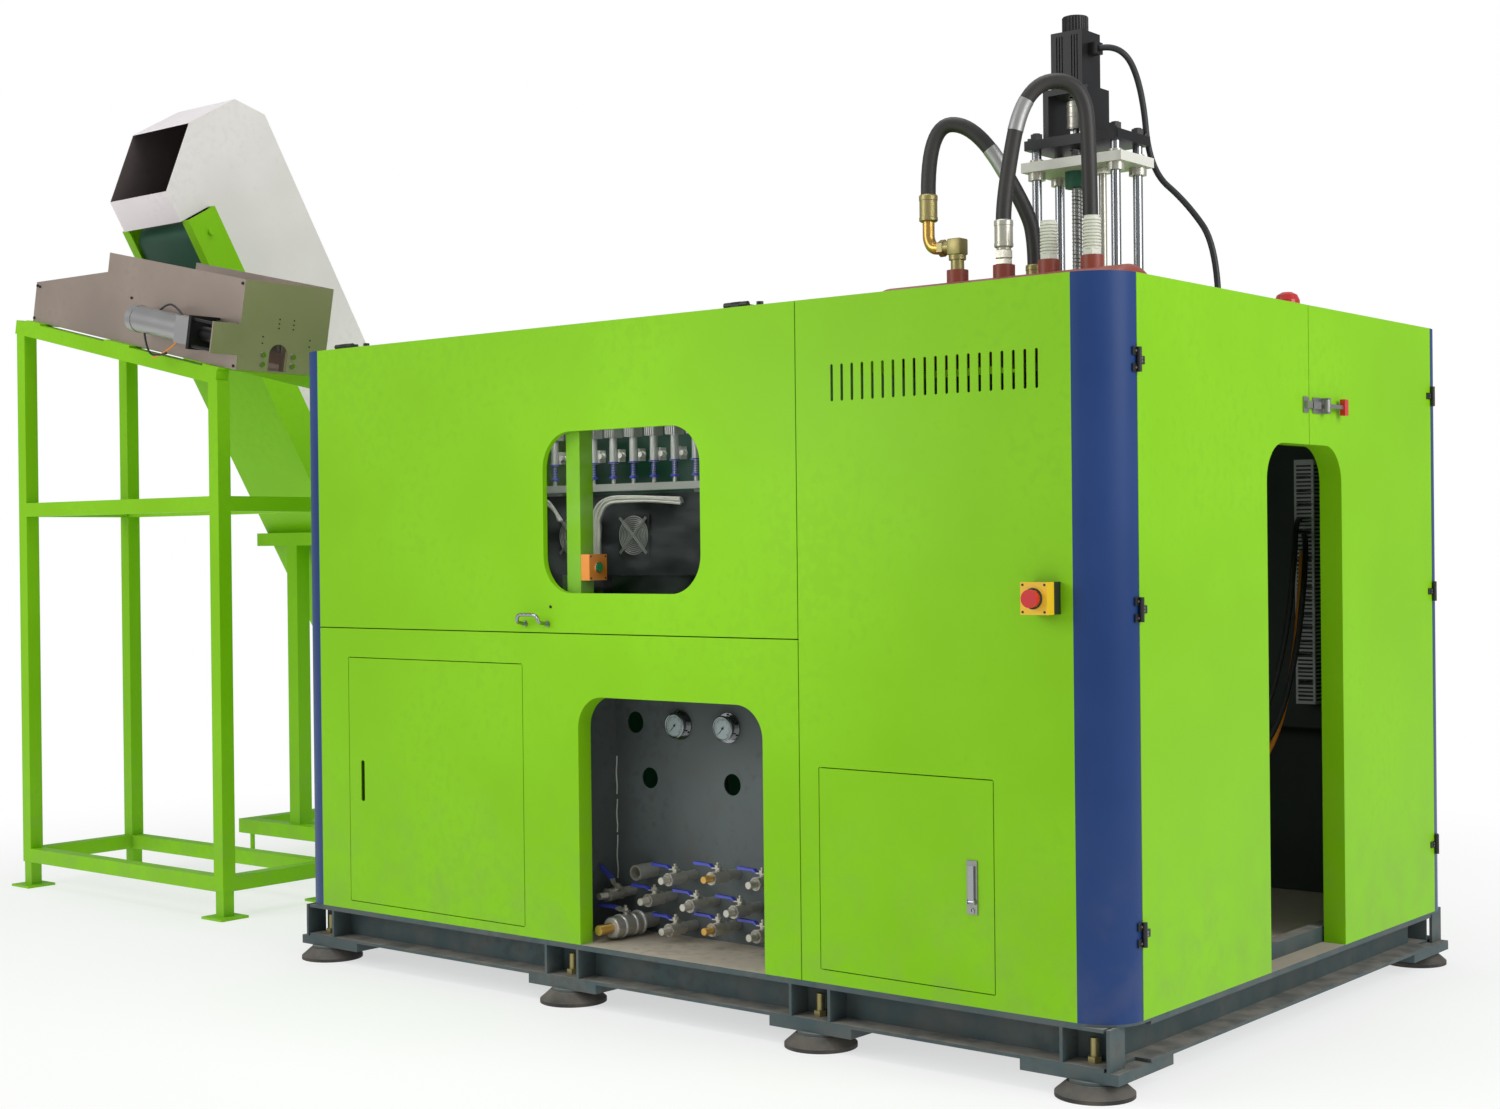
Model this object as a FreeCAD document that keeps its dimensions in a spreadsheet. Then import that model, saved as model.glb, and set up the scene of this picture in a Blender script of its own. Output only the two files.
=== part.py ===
import FreeCAD, Part
import math
import os
import re

import Sketcher

# Blow moulding machine: preform loader, blowing cabinet and servo stretch unit.
# Lengths are millimetres. Machine axes: X grows to the right, Y to the back and
# Z upwards from the floor; X = 0 and Y = 0 at the sharp front right cabinet corner.

os.makedirs("parts", exist_ok=True)
document = FreeCAD.newDocument("BlowMouldingMachine")
sheet = document.addObject("Spreadsheet::Sheet", "Sizes")

SIZES = {
    # Part frame: the middle of the footprint, on the floor.
    "shift_x": 2348.75,
    "shift_y": -1125.5,
    # Cabinet envelope and sheet metal.
    "cabinet_length": 2785,
    "cabinet_depth": 1905,
    "cabinet_height": 1650,
    "column_radius": 105,
    "column_skin": 6,
    "sheet": 3,
    "panel_gap": 3,
    "panel_depth": 30,
    "groove_x": 871,
    "split_height": 829,
    # Base frame and feet.
    "deck": 165,
    "deck_plate": 6,
    "beam_width": 140,
    "beam_flange": 8,
    "beam_web": 6,
    "corner_step": 40,
    "pad_height": 40,
    "pad_radius": 90,
    "pad_neck": 62,
    "pad_lip": 9,
    "pad_cap": 7,
    "foot_plate": 25,
    "foot_plate_length": 250,
    "foot_end_x": 88,
    "foot_second_x": 850,
    "foot_third_x": 1690,
    "foot_edge": 4,
    "foot_inset_y": 45,
    "stud_radius": 10,
    "stud_top": 128,
    "nut_radius": 17,
    "nut_height": 14,
    "rib_gap": 110,
    "rib_thick": 8,
    "fit_clearance": 0.4,
    "bore_clearance": 0.05,
    # Inner frame.
    "post": 40,
    "frame_inset": 65,
    "frame_front": 45,
    "window_post": 50,
    "window_post_x": 1690,
    "window_post_y": 40,
    "well_left": 1040,
    "well_right": 120,
    "well_front": 260,
    "well_back": 1060,
    "well_rim": 18,
    "saddle_left": 830,
    "saddle_right": 260,
    "saddle_thick": 12,
    "saddle_low": 1650,
    "saddle_tall": 50,
    "mount_plate_left": 700,
    "mount_plate_low": 665,
    "mount_plate_high": 1665,
    "shelf_height": 725,
    "junction_side": 50,
    "junction_x": 190,
    "junction_y": 805,
    # Front panels, doors and niche.
    "left_door_inset": 233,
    "left_door_right": 1828,
    "left_door_low": 192,
    "left_door_high": 905,
    "left_slot_inset": 50,
    "left_slot_width": 16,
    "left_slot_low": 487,
    "left_slot_high": 606,
    "right_door_left": 812,
    "right_door_right": 318,
    "right_door_low": 200,
    "right_door_high": 684,
    "access_depth": 18,
    "access_corner": 5,
    "access_gap": 2.5,
    "pivot_inset": 3,
    "pivot_radius": 2,
    "pivot_block": 12,
    "latch_left": 389,
    "latch_right": 361,
    "latch_low": 376,
    "latch_high": 499,
    "latch_plate": 3,
    "latch_lug": 7,
    "latch_pin_radius": 2,
    "latch_pin_y": 6.8,
    "latch_pin_z": 396,
    "paddle_width": 16,
    "paddle_thick": 5,
    "paddle_length": 82,
    "key_radius": 7,
    "key_z": 386,
    "vent_left": 766,
    "vent_low": 1565,
    "vent_high": 1654,
    "vent_width": 8,
    "vent_count": 20,
    "vent_span": 570,
    "niche_left": 1618,
    "niche_right": 987,
    "niche_high": 826,
    "niche_corner": 85,
    "niche_return": 48,
    "niche_box_left": 1728,
    "niche_box_right": 916,
    "niche_box_high": 865,
    "niche_back": 262,
    # Lift door with window and handle.
    "window_left": 1740,
    "window_right": 1182,
    "window_low": 1100,
    "window_high": 1531,
    "window_corner": 100,
    "window_rim": 16,
    "pane_thick": 5,
    "pane_lap": 18,
    "handle_left": 1812,
    "handle_right": 1727,
    "handle_foot_z": 1016,
    "handle_rise": 26,
    "handle_reach": 34,
    "handle_radius": 5,
    "handle_boss": 9,
    "lift_axis_y": 30,
    "lift_axis_z": 1824,
    "lift_pin_radius": 5,
    "lift_lug_radius": 8,
    "lift_lug_width": 26,
    "lift_side_lug": 24,
    "lift_hinge_right": 1080,
    "lift_hinge_inset": 195,
    "lift_bracket_back": 112,
    "lift_bracket_thick": 8,
    "bolt_radius": 9,
    "bolt_height": 13,
    # Right side doors.
    "door_split": 993,
    "side_depth": 40,
    "side_way_front": 747,
    "side_way_back": 1186,
    "side_way_high": 1462,
    "side_way_corner": 100,
    "side_way_return": 60,
    "hinge_low": 328,
    "hinge_mid": 1044,
    "hinge_high": 1595,
    "hinge_tall": 55,
    "hinge_wing": 32,
    "hinge_thick": 3,
    "hinge_axis_x": 6.5,
    "knuckle_radius": 6,
    "knuckle_pin": 3,
    "knuckle_gap": 0.4,
    "toggle_z": 1562,
    "toggle_tall": 40,
    "toggle_base_front": 1010,
    "toggle_base_back": 1085,
    "toggle_pivot_y": 1068,
    "toggle_pivot_x": 16,
    "toggle_pin": 4,
    "toggle_base_thick": 4,
    "keeper_front": 955,
    "keeper_back": 984,
    "toggle_stem_end": 1160,
    "toggle_grip": 20,
    "toggle_grip_tall": 42,
    # Buttons.
    "stop_x": 170,
    "stop_z": 1099,
    "stop_width": 68,
    "stop_height": 72,
    "stop_base": 28,
    "stop_lid": 30,
    "stop_disc_radius": 28,
    "stop_disc": 2,
    "stop_head_radius": 20,
    "stop_head": 13,
    "stop_travel": 5,
    "stem_radius": 8,
    "stem_length": 26,
    "start_side": 68,
    "start_tall": 70,
    "start_deep": 31,
    "start_y": 41,
    "start_low": 1133,
    "start_radius": 11,
    "start_collar": 15,
    "start_rise": 7,
    "start_travel": 4,
    # Valves and gauges in the niche.
    "valve_first_x": 1590,
    "valve_pitch": 150,
    "valve_half": 75,
    "valve_row_top": 335,
    "valve_row_mid": 272,
    "valve_row_low": 200,
    "valve_raise": 17,
    "pipe_radius": 13.5,
    "pipe_length": 50,
    "valve_radius": 17,
    "valve_length": 60,
    "collar_radius": 8,
    "collar_top": 22,
    "stem_pin_radius": 4.5,
    "stem_top": 34,
    "nipple_radius": 9,
    "nipple_length": 30,
    "big_pipe_radius": 21,
    "big_valve_radius": 29,
    "big_pipe_length": 60,
    "big_valve_length": 110,
    "big_nipple_radius": 13,
    "big_nipple_length": 52,
    "big_collar_top": 36,
    "big_stem_top": 48,
    "open_stub_radius": 21,
    "open_stub_bore": 16,
    "open_stub_length": 74,
    "lever_thick": 3,
    "lever_width": 14,
    "lever_nose": 10,
    "lever_crank": 16,
    "lever_step": 26,
    "lever_rise": 8,
    "lever_length": 80,
    "sleeve_thick": 8,
    "lever_tilt": 35,
    "gauge_first_x": 1485,
    "gauge_second_x": 1315,
    "gauge_z": 737,
    "gauge_gap_x": 1652,
    "gauge_gap_radius": 30,
    "gauge_flange_radius": 40,
    "gauge_flange": 4,
    "gauge_body_radius": 31.5,
    "gauge_body": 26,
    "port_first_x": 1600,
    "port_second_x": 1305,
    "port_z": 586,
    "port_radius": 29,
}
SIZES.update({
    # Heating zone behind the window.
    "oven_left": 2250,
    "oven_right": 1560,
    "oven_front": 480,
    "oven_back": 800,
    "oven_low": 1139,
    "oven_high": 1375,
    "oven_leg": 40,
    "fan_z": 1255,
    "fan_right_x": 1842,
    "fan_left_x": 2085,
    "fan_hole_radius": 62,
    "fan_blade_radius": 56,
    "fan_hub_radius": 20,
    "fan_depth": 24,
    "fan_pin_radius": 4,
    "fan_blade_thick": 2,
    "fan_blade_pitch": 35,
    "fan_arm": 5,
    "fan_ring": 4,
    "fan_ring_radius": 40,
    "spindle_first_x": 1593,
    "spindle_pitch": 79.5,
    "spindle_y": 462,
    "rail_low": 1384,
    "rail_high": 1405,
    "rail_deep": 44,
    "rod_radius": 6,
    "tube_radius": 11.5,
    "tube_low": 1470,
    "cap_low": 1540,
    "cap_high": 1569,
    "cap_side": 38,
    "ring_radius": 15,
    "ring_tall": 5,
    "ring_low_z": 1421,
    # Cable duct on the mounting plate.
    "duct_left": 394,
    "duct_right": 334,
    "duct_deep": 60,
    "duct_low": 740,
    "duct_high": 1455,
    "duct_wall": 3,
    "duct_slot": 8,
    "duct_slot_pitch": 40,
    "duct_slots": 17,
    # Air tank with sockets.
    "tank_radius": 109.5,
    "tank_wall": 5,
    "tank_y": 430,
    "tank_z": 1773,
    "tank_left": 880,
    "tank_right": 195,
    "tank_dome": 52,
    "socket_first_x": 684,
    "socket_second_x": 546,
    "socket_third_x": 416,
    "socket_fourth_x": 296,
    "socket_radius": 27.5,
    "socket_top": 1912,
    "socket_root": 1870,
    "loop_reach": 995,
    "loop_bar": 9,
    "loop_spread": 30,
    # Pipes, ferrules, silencers.
    "elbow_radius": 23,
    "elbow_x": 771,
    "elbow_z": 1975,
    "elbow_top": 2043,
    "ferrule_radius": 23.5,
    "ferrule_length": 67,
    "riser_top": 1955,
    "silencer_radius": 22,
    "silencer_collar": 26,
    "silencer_collar_top": 1928,
    "silencer_top": 1970,
    "hose_radius": 19.5,
    "cable_radius": 8,
    "low_end_x": 536,
    "low_end_y": 560,
    "low_end_z": 1922,
    "tall_end_x": 376,
    "tall_end_y": 563,
    "tall_end_z": 1905,
    "hose_straight": 60,
    "low_crest_z": 2285,
    "low_far_x": 653,
    "low_far_y": 475,
    "low_drop_z": 2060,
    "tall_near_x": 504,
    "tall_near_y": 464,
    "tall_crest_z": 2365,
    "tall_drop_z": 2160,
    "cable_reach": 90,
    "cable_back_x": 372,
    "cable_back_y": 825,
    "cable_back_z": 2395,
    "cable_sag_x": 362,
    "cable_sag_y": 842,
    "cable_sag_z": 2180,
    "cable_low_x": 255,
    "cable_low_y": 837,
    "cable_low_z": 2085,
    "cable_drop_z": 1960,
    # Servo stretch unit above the roof.
    "guide_radius": 12.5,
    "guide_neck": 10,
    "guide_left": 601,
    "guide_right": 370,
    "guide_front": 680,
    "guide_back": 794,
    "axis_x": 516,
    "axis_y": 737,
    "bridge_top": 1645,
    "bridge_thick": 25,
    "plate_left": 622,
    "plate_front": 653,
    "plate_width": 274,
    "plate_depth": 168,
    "plate_thick": 25,
    "plate_low": 2236,
    "guide_nut": 17,
    "guide_nut_tall": 18,
    "bracket_width": 132,
    "bracket_depth": 110,
    "bracket_top": 2390,
    "bracket_wall": 16,
    "motor_side": 92,
    "motor_top": 2536,
    "motor_cap_radius": 32,
    "motor_cap_top": 2580,
    "plug_side": 30,
    "plug_reach": 26,
    "plug_z": 2490,
    "screw_radius": 12.5,
    "screw_low": 1700,
    "screw_bore": 30,
    "coupling_radius": 24,
    "coupling_low": 2290,
    "coupling_high": 2360,
    "screw_neck": 8,
    "carriage_left": 632,
    "carriage_front": 652,
    "carriage_width": 293,
    "carriage_depth": 171,
    "carriage_low": 2180,
    "bush_flange_radius": 22.5,
    "bush_flange": 20,
    "bush_radius": 17.5,
    "bush_top": 8,
    "nut_housing_radius": 30,
    "nut_housing": 42,
    "stretch_x": 440,
    "stretch_y": 737,
    "stretch_radius": 10,
    "stretch_low": 1760,
    "stretch_hole": 26,
    # Clamp frame carrying the stretch unit.
    "clamp_left": 780,
    "clamp_right": 190,
    "clamp_front": 440,
    "clamp_back": 960,
    "tie_radius": 25,
    "tie_inset": 60,
    "clamp_base": 40,
    "platen_tall": 500,
    "platen_thick": 60,
    "platen_low": 760,
    "block_side": 80,
    # Beacon.
    "beacon_x": 150,
    "beacon_y": 1195,
    "beacon_base_radius": 40,
    "beacon_base": 14,
    "beacon_radius": 33,
    "beacon_top": 1877,
    # Loader stand.
    "stand_left": 4680,
    "stand_right": 3480,
    "stand_front": 228,
    "stand_back": 708,
    "tube": 50,
    "incline": 12,
    "stand_mid_low": 1355,
    "stand_foot_top": 90,
    "stand_beam_left_top": 2073,
    "stand_foot_side": 110,
    "stand_foot_plate": 8,
    "tab_thick": 8,
    "tab_left_u": 60,
    "tab_left_wide": 90,
    "tab_mid_u": 560,
    "tab_mid_wide": 155,
    "tab_right_u": 1140,
    "tab_right_wide": 90,
    # Trough on the incline: u runs down the slope, w stands off it.
    "trough_x": 4615,
    "trough_z": 2073,
    "trough_front": 255,
    "trough_back": 620,
    "trough_length": 1225,
    "trough_high": 300,
    "trough_step_u": 440,
    "trough_step_w": 232,
    "trough_nose_w": 142,
    "trough_skin": 4,
    "slot_centre_y": 420,
    "slot_half": 39,
    "slot_high": 92,
    "roller_radius": 30,
    "roller_low_w": 60,
    "roller_gap": 96,
    "roller_start": 40,
    "roller_length": 1150,
    "roller_pin": 10,
    "trough_floor_w": 16,
    # Geared motor beside the trough.
    "gear_y": 198,
    "gear_w": 102,
    "gear_start_u": 722,
    "gear_mid_u": 1010,
    "gear_flange_u": 1098,
    "gear_coupling_u": 1130,
    "gear_end_u": 1222,
    "gear_radius": 45,
    "gear_cap_radius": 47,
    "gear_cap": 30,
    "gear_box": 90,
    "gear_flange_side": 112,
    "gear_flange": 14,
    "gear_coupling_radius": 24,
    "bracket_plate": 6,
    "bracket_side": 104,
    # Elevator: s runs up the belt, n stands off its underside.
    "lift_y": 569,
    "lift_z": 2397,
    "lift_left": 4495,
    "lift_right": 4085,
    "channel_deep": 133,
    "channel_wide": 40,
    "channel_wall": 4,
    "run_length": 2550,
    "climb": 30,
    "head_s": 25,
    "pulley_radius": 50,
    "pulley_inset": 75,
    "pulley_n": 66,
    "belt_thick": 4,
    "belt_left": 4448,
    "belt_right": 4132,
    "cleat_tall": 40,
    "cleat_thick": 5,
    "cleat_pitch": 310,
    "cleats": 8,
    "belly_high_s": -330,
    "belly_low_s": -2380,
    "hood_left": 4465,
    "hood_right": 4115,
    "hood_skin": 2,
    "hood_lip_n": -12,
    "hood_lip_low": 27,
    "hood_lip_high": 146,
    "hood_brow_n": 208,
    "hood_top_s": 323,
    "hood_bend_n": 440,
    "hood_bend_s": 223,
    "hood_n": 540,
    "hood_end_s": -1500,
    "hopper_far_y": 2330,
    "hopper_far_high": 1165,
    "hopper_far_low": 865,
    "hopper_near_y": 1445,
    "hopper_near_z": 1146,
    "hopper_rim_y": 1787,
    "hopper_rim_z": 1368,
    "hopper_low_y": 1936,
    "hopper_low_z": 295.6,
    "mast_left": 4315,
    "mast_side": 60,
    "mast_y": 1160,
    "mast_high": 1240,
    "tail_post_high": 240,
    "mast_bar_left": 4500,
    "mast_bar_wide": 420,
    "mast_bar": 50,
    "foot_frame_left": 4600,
    "foot_frame_right": 3980,
    "foot_frame_front": 1130,
    "foot_frame_back": 1950,
    "foot_frame_low": 100,
    "foot_frame_tall": 55,
    "foot_pad_radius": 40,
    "foot_pad": 14,
    "foot_screw": 9,
})

for row, (alias, value) in enumerate(SIZES.items(), start=1):
    sheet.set(f"A{row}", alias)
    sheet.set(f"B{row}", str(value))
    sheet.setAlias(f"B{row}", alias)
document.recompute()

NODES = []
SPIN = {"X": (0, 1, 0, 90), "Y": (1, 0, 0, -90), "Z": (0, 0, 1, 0)}


def named(text):
    """Prefix every named size in an expression with the sheet's name."""
    return re.sub(r"[a-z][a-z_]*", lambda word: "Sizes." + word[0]
                  if word[0] in SIZES else word[0], str(text))


def bind(feature, **properties):
    """Bind properties of a feature to expressions of named sizes."""
    for key, text in properties.items():
        feature.setExpression(key.replace("__", "."), named(text))
    return feature


def place(feature, x="0", y="0", z="0", turn=None):
    """Put a feature's origin at x, y, z, with an optional axis and angle."""
    if turn:
        ax, ay, az, angle = turn
        rotation = FreeCAD.Rotation(FreeCAD.Vector(ax, ay, az), angle)
        feature.Placement = FreeCAD.Placement(FreeCAD.Vector(), rotation)
    return bind(feature, Placement__Base__x=x, Placement__Base__y=y, Placement__Base__z=z)


def box(x, y, z, length, width, height):
    """Make a block from its low corner and its sizes along X, Y and Z."""
    block = document.addObject("Part::Box", "Block")
    bind(block, Length=length, Width=width, Height=height)
    return place(block, x, y, z)


def span(x, y, z, x_end, y_end, z_end):
    """Make a block from its low corner to its high corner."""
    return box(x, y, z, f"({x_end})-({x})", f"({y_end})-({y})", f"({z_end})-({z})")


def rod(axis, x, y, z, radius, length):
    """Make a round bar along X, Y or Z from the given start."""
    bar = document.addObject("Part::Cylinder", "Rod")
    bind(bar, Radius=radius, Height=length)
    return place(bar, x, y, z, SPIN[axis])


def hexagon(x, y, z, radius, height):
    """Make a six sided bar standing along Z."""
    bar = document.addObject("Part::Prism", "Hexagon")
    bar.Polygon = 6
    bind(bar, Circumradius=radius, Height=height)
    return place(bar, x, y, z)


def cut(base, *tools):
    """Take tools away from a base shape."""
    for tool in tools:
        result = document.addObject("Part::Cut", "Cut")
        result.Base = base
        result.Tool = tool
        base = result
    return base


def fuse(*shapes):
    """Join shapes into one solid."""
    result = document.addObject("Part::MultiFuse", "Fuse")
    result.Shapes = list(shapes)
    result.Refine = True
    return result


def group(*shapes):
    """Keep several solids of one kind together."""
    result = document.addObject("Part::Compound", "Group")
    result.Links = list(shapes)
    return result


def twin(shape, x="0", y="0", z="0", turn=None):
    """Repeat a shape at another place."""
    return place(group(shape), x, y, z, turn)


def node(shape, label):
    """Name a finished piece and move it into the part frame."""
    if not shape.isDerivedFrom("PartDesign::Body"):
        shape = group(shape)
    bind(shape, Placement__Base__x="shift_x", Placement__Base__y="shift_y")
    shape.Label = label
    NODES.append(shape)
    return shape


def plane(body, role):
    """Find an origin plane of a body."""
    return next(part for part in body.Origin.OriginFeatures if part.Role == role + "_Plane")


def pin_point(sketch, index, end, x, y):
    """Hold one sketch point at named distances from the origin."""
    spot = sketch.getPoint(index, end)
    for kind, text, now in (("DistanceX", x, spot.x), ("DistanceY", y, spot.y)):
        number = sketch.addConstraint(Sketcher.Constraint(kind, -1, 1, index, end, now))
        sketch.setExpression(f"Constraints[{number}]", named(text))


def draw_polygon(sketch, points):
    """Draw a closed outline through named points."""
    count = len(points)
    spots = [FreeCAD.Vector(90 * math.cos(math.tau * i / count),
                            90 * math.sin(math.tau * i / count), 0) for i in range(count)]
    for i in range(count):
        sketch.addGeometry(Part.LineSegment(spots[i], spots[(i + 1) % count]), False)
    for i in range(count):
        sketch.addConstraint(Sketcher.Constraint("Coincident", i, 2, (i + 1) % count, 1))
    for i, (x, y) in enumerate(points):
        pin_point(sketch, i, 1, x, y)


def draw_circle(sketch, x, y, radius):
    """Draw one circle at a named place."""
    ring = Part.Circle(FreeCAD.Vector(5, 5, 0), FreeCAD.Vector(0, 0, 1), 20)
    index = sketch.addGeometry(ring, False)
    pin_point(sketch, index, 3, x, y)
    number = sketch.addConstraint(Sketcher.Constraint("Radius", index, 20))
    sketch.setExpression(f"Constraints[{number}]", named(radius))


def draw_round_box(sketch, x, y, x_end, y_end, radius):
    """Draw a box with four equal round corners."""
    left, low, right, high, bend = 0, 0, 100, 80, 10
    lines = [((left + bend, low), (right - bend, low)), ((right, low + bend), (right, high - bend)),
             ((right - bend, high), (left + bend, high)), ((left, high - bend), (left, low + bend))]
    for start, end in lines:
        sketch.addGeometry(Part.LineSegment(FreeCAD.Vector(*start, 0), FreeCAD.Vector(*end, 0)), False)
    centres = [(right - bend, low + bend), (right - bend, high - bend),
               (left + bend, high - bend), (left + bend, low + bend)]
    for i, centre in enumerate(centres):
        ring = Part.Circle(FreeCAD.Vector(*centre, 0), FreeCAD.Vector(0, 0, 1), bend)
        start = math.pi / 2 * (i + 3)
        sketch.addGeometry(Part.ArcOfCircle(ring, start, start + math.pi / 2), False)
    for i in range(4):
        sketch.addConstraint(Sketcher.Constraint("Tangent", i, 2, i + 4, 1))
        sketch.addConstraint(Sketcher.Constraint("Tangent", i + 4, 2, (i + 1) % 4, 1))
    for i in (0, 2):
        sketch.addConstraint(Sketcher.Constraint("Horizontal", i))
        sketch.addConstraint(Sketcher.Constraint("Vertical", i + 1))
    for i in (5, 6, 7):
        sketch.addConstraint(Sketcher.Constraint("Equal", 4, i))
    number = sketch.addConstraint(Sketcher.Constraint("Radius", 4, bend))
    sketch.setExpression(f"Constraints[{number}]", named(radius))
    for kind, line, text, now in (("DistanceY", 0, y, low), ("DistanceX", 1, x_end, right),
                                  ("DistanceY", 2, y_end, high), ("DistanceX", 3, x, left)):
        number = sketch.addConstraint(Sketcher.Constraint(kind, -1, 1, line, 1, now))
        sketch.setExpression(f"Constraints[{number}]", named(text))


def outline(body, role, start, shape):
    """Draw a named outline on an origin plane, moved to a start along its axis."""
    sketch = body.newObject("Sketcher::SketchObject", "Outline")
    sketch.AttachmentSupport = [(plane(body, role), "")]
    sketch.MapMode = "FlatFace"
    sign = "-" if role == "XZ" else ""
    bind(sketch, AttachmentOffset__Base__z=f"{sign}({start})")
    kind, *numbers = shape
    if kind == "circle":
        draw_circle(sketch, *numbers)
    elif kind == "round":
        draw_round_box(sketch, *numbers)
    elif kind == "box":
        x, y, x_end, y_end = numbers
        draw_polygon(sketch, [(x, y), (x_end, y), (x_end, y_end), (x, y_end)])
    else:
        draw_polygon(sketch, numbers[0])
    return sketch


def pad(body, role, start, length, shape):
    """Add material from start along the growing axis."""
    profile = outline(body, role, start, shape)
    feature = body.newObject("PartDesign::Pad", "Pad")
    feature.Profile = profile
    feature.Reversed = role == "XZ"
    bind(feature, Length=length)
    return body


def pocket(body, role, start, length, shape):
    """Take material away from start along the growing axis."""
    profile = outline(body, role, start, shape)
    feature = body.newObject("PartDesign::Pocket", "Pocket")
    feature.Profile = profile
    feature.Reversed = role != "XZ"
    bind(feature, Length=length)
    return feature


def slab(role, start, length, shape):
    """Make a body from one outline with a thickness."""
    return pad(document.addObject("PartDesign::Body", "Body"), role, start, length, shape)


def turned(role, points, axis):
    """Make a body of revolution about a sketch axis from a half outline."""
    body = document.addObject("PartDesign::Body", "Turned")
    profile = outline(body, role, "0", ("polygon", points))
    feature = body.newObject("PartDesign::Revolution", "Revolution")
    feature.Profile = profile
    feature.ReferenceAxis = (profile, [axis])
    feature.Angle = 360
    return body


def pan(role, face, depth, x, y, x_end, y_end):
    """Make a folded sheet pan; its outer skin lies on the given face."""
    start = face if role == "XZ" else f"({face})-({depth})"
    hollow = f"({face})+sheet" if role == "XZ" else start
    body = slab(role, start, depth, ("box", x, y, x_end, y_end))
    inner = ("box", f"{x}+sheet", f"{y}+sheet", f"{x_end}-sheet", f"{y_end}-sheet")
    pocket(body, role, hollow, f"({depth})-sheet", inner)
    return body


def opening(body, role, face, rim, x, y, x_end, y_end, radius, floor=None):
    """Cut a round cornered opening and line it with a folded return."""
    start = face if role == "XZ" else f"({face})-({rim})"
    low = y if floor is None else f"{floor}-({radius})-sheet"
    pad(body, role, start, rim, ("round", f"{x}-sheet", f"{low}-sheet", f"{x_end}+sheet",
                                 f"{y_end}+sheet", f"{radius}+sheet"))
    if floor is not None:
        pocket(body, role, start, rim, ("box", f"{x}-2*sheet", f"{low}-2*sheet",
                                        f"{x_end}+2*sheet", floor))
    pocket(body, role, start, rim, ("round", x, low, x_end, y_end, radius))
    return body


def sweep(points, radius):
    """Make a round bar or hose along straight runs joined by tangent bends."""
    spots = [FreeCAD.Vector(*[read(text) for text in point]) for point in points]
    edges = []
    last = spots[0]
    for before, corner, after in zip(spots, spots[1:], spots[2:]):
        inward = (before - corner).normalize()
        outward = (after - corner).normalize()
        reach = 0.45 * min(before.distanceToPoint(corner), after.distanceToPoint(corner))
        first = corner + inward * reach
        second = corner + outward * reach
        half = (inward + outward).normalize()
        opened = inward.getAngle(outward) / 2
        centre = corner + half * (reach / math.cos(opened))
        middle = centre - half * (reach * math.tan(opened))
        edges.append(Part.makeLine(last, first))
        edges.append(Part.Arc(first, middle, second).toShape())
        last = second
    edges.append(Part.makeLine(last, spots[-1]))
    path = Part.Wire(edges)
    along = spots[1] - spots[0]
    ring = Part.Wire([Part.makeCircle(read(radius), spots[0], along)])
    feature = document.addObject("Part::Feature", "Swept")
    feature.Shape = path.makePipeShell([ring], True, False)
    return feature


def read(text):
    """Return the number behind an expression of named sizes."""
    sheet.set("D1", "=" + str(text))
    sheet.recompute()
    return float(sheet.get("D1"))


def beam_outline(edge):
    """Give the H section of a base beam whose left edge is named."""
    low = "pad_height+foot_plate"
    high = "deck-deck_plate"
    web_left = f"{edge}+(beam_width-beam_web)/2"
    web_right = f"{edge}+(beam_width+beam_web)/2"
    return ("polygon", [
        (edge, low), (f"{edge}+beam_width", low), (f"{edge}+beam_width", f"{low}+beam_flange"),
        (web_right, f"{low}+beam_flange"), (web_right, f"{high}-beam_flange"),
        (f"{edge}+beam_width", f"{high}-beam_flange"), (f"{edge}+beam_width", high), (edge, high),
        (edge, f"{high}-beam_flange"), (web_left, f"{high}-beam_flange"),
        (web_left, f"{low}+beam_flange"), (edge, f"{low}+beam_flange")])


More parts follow.
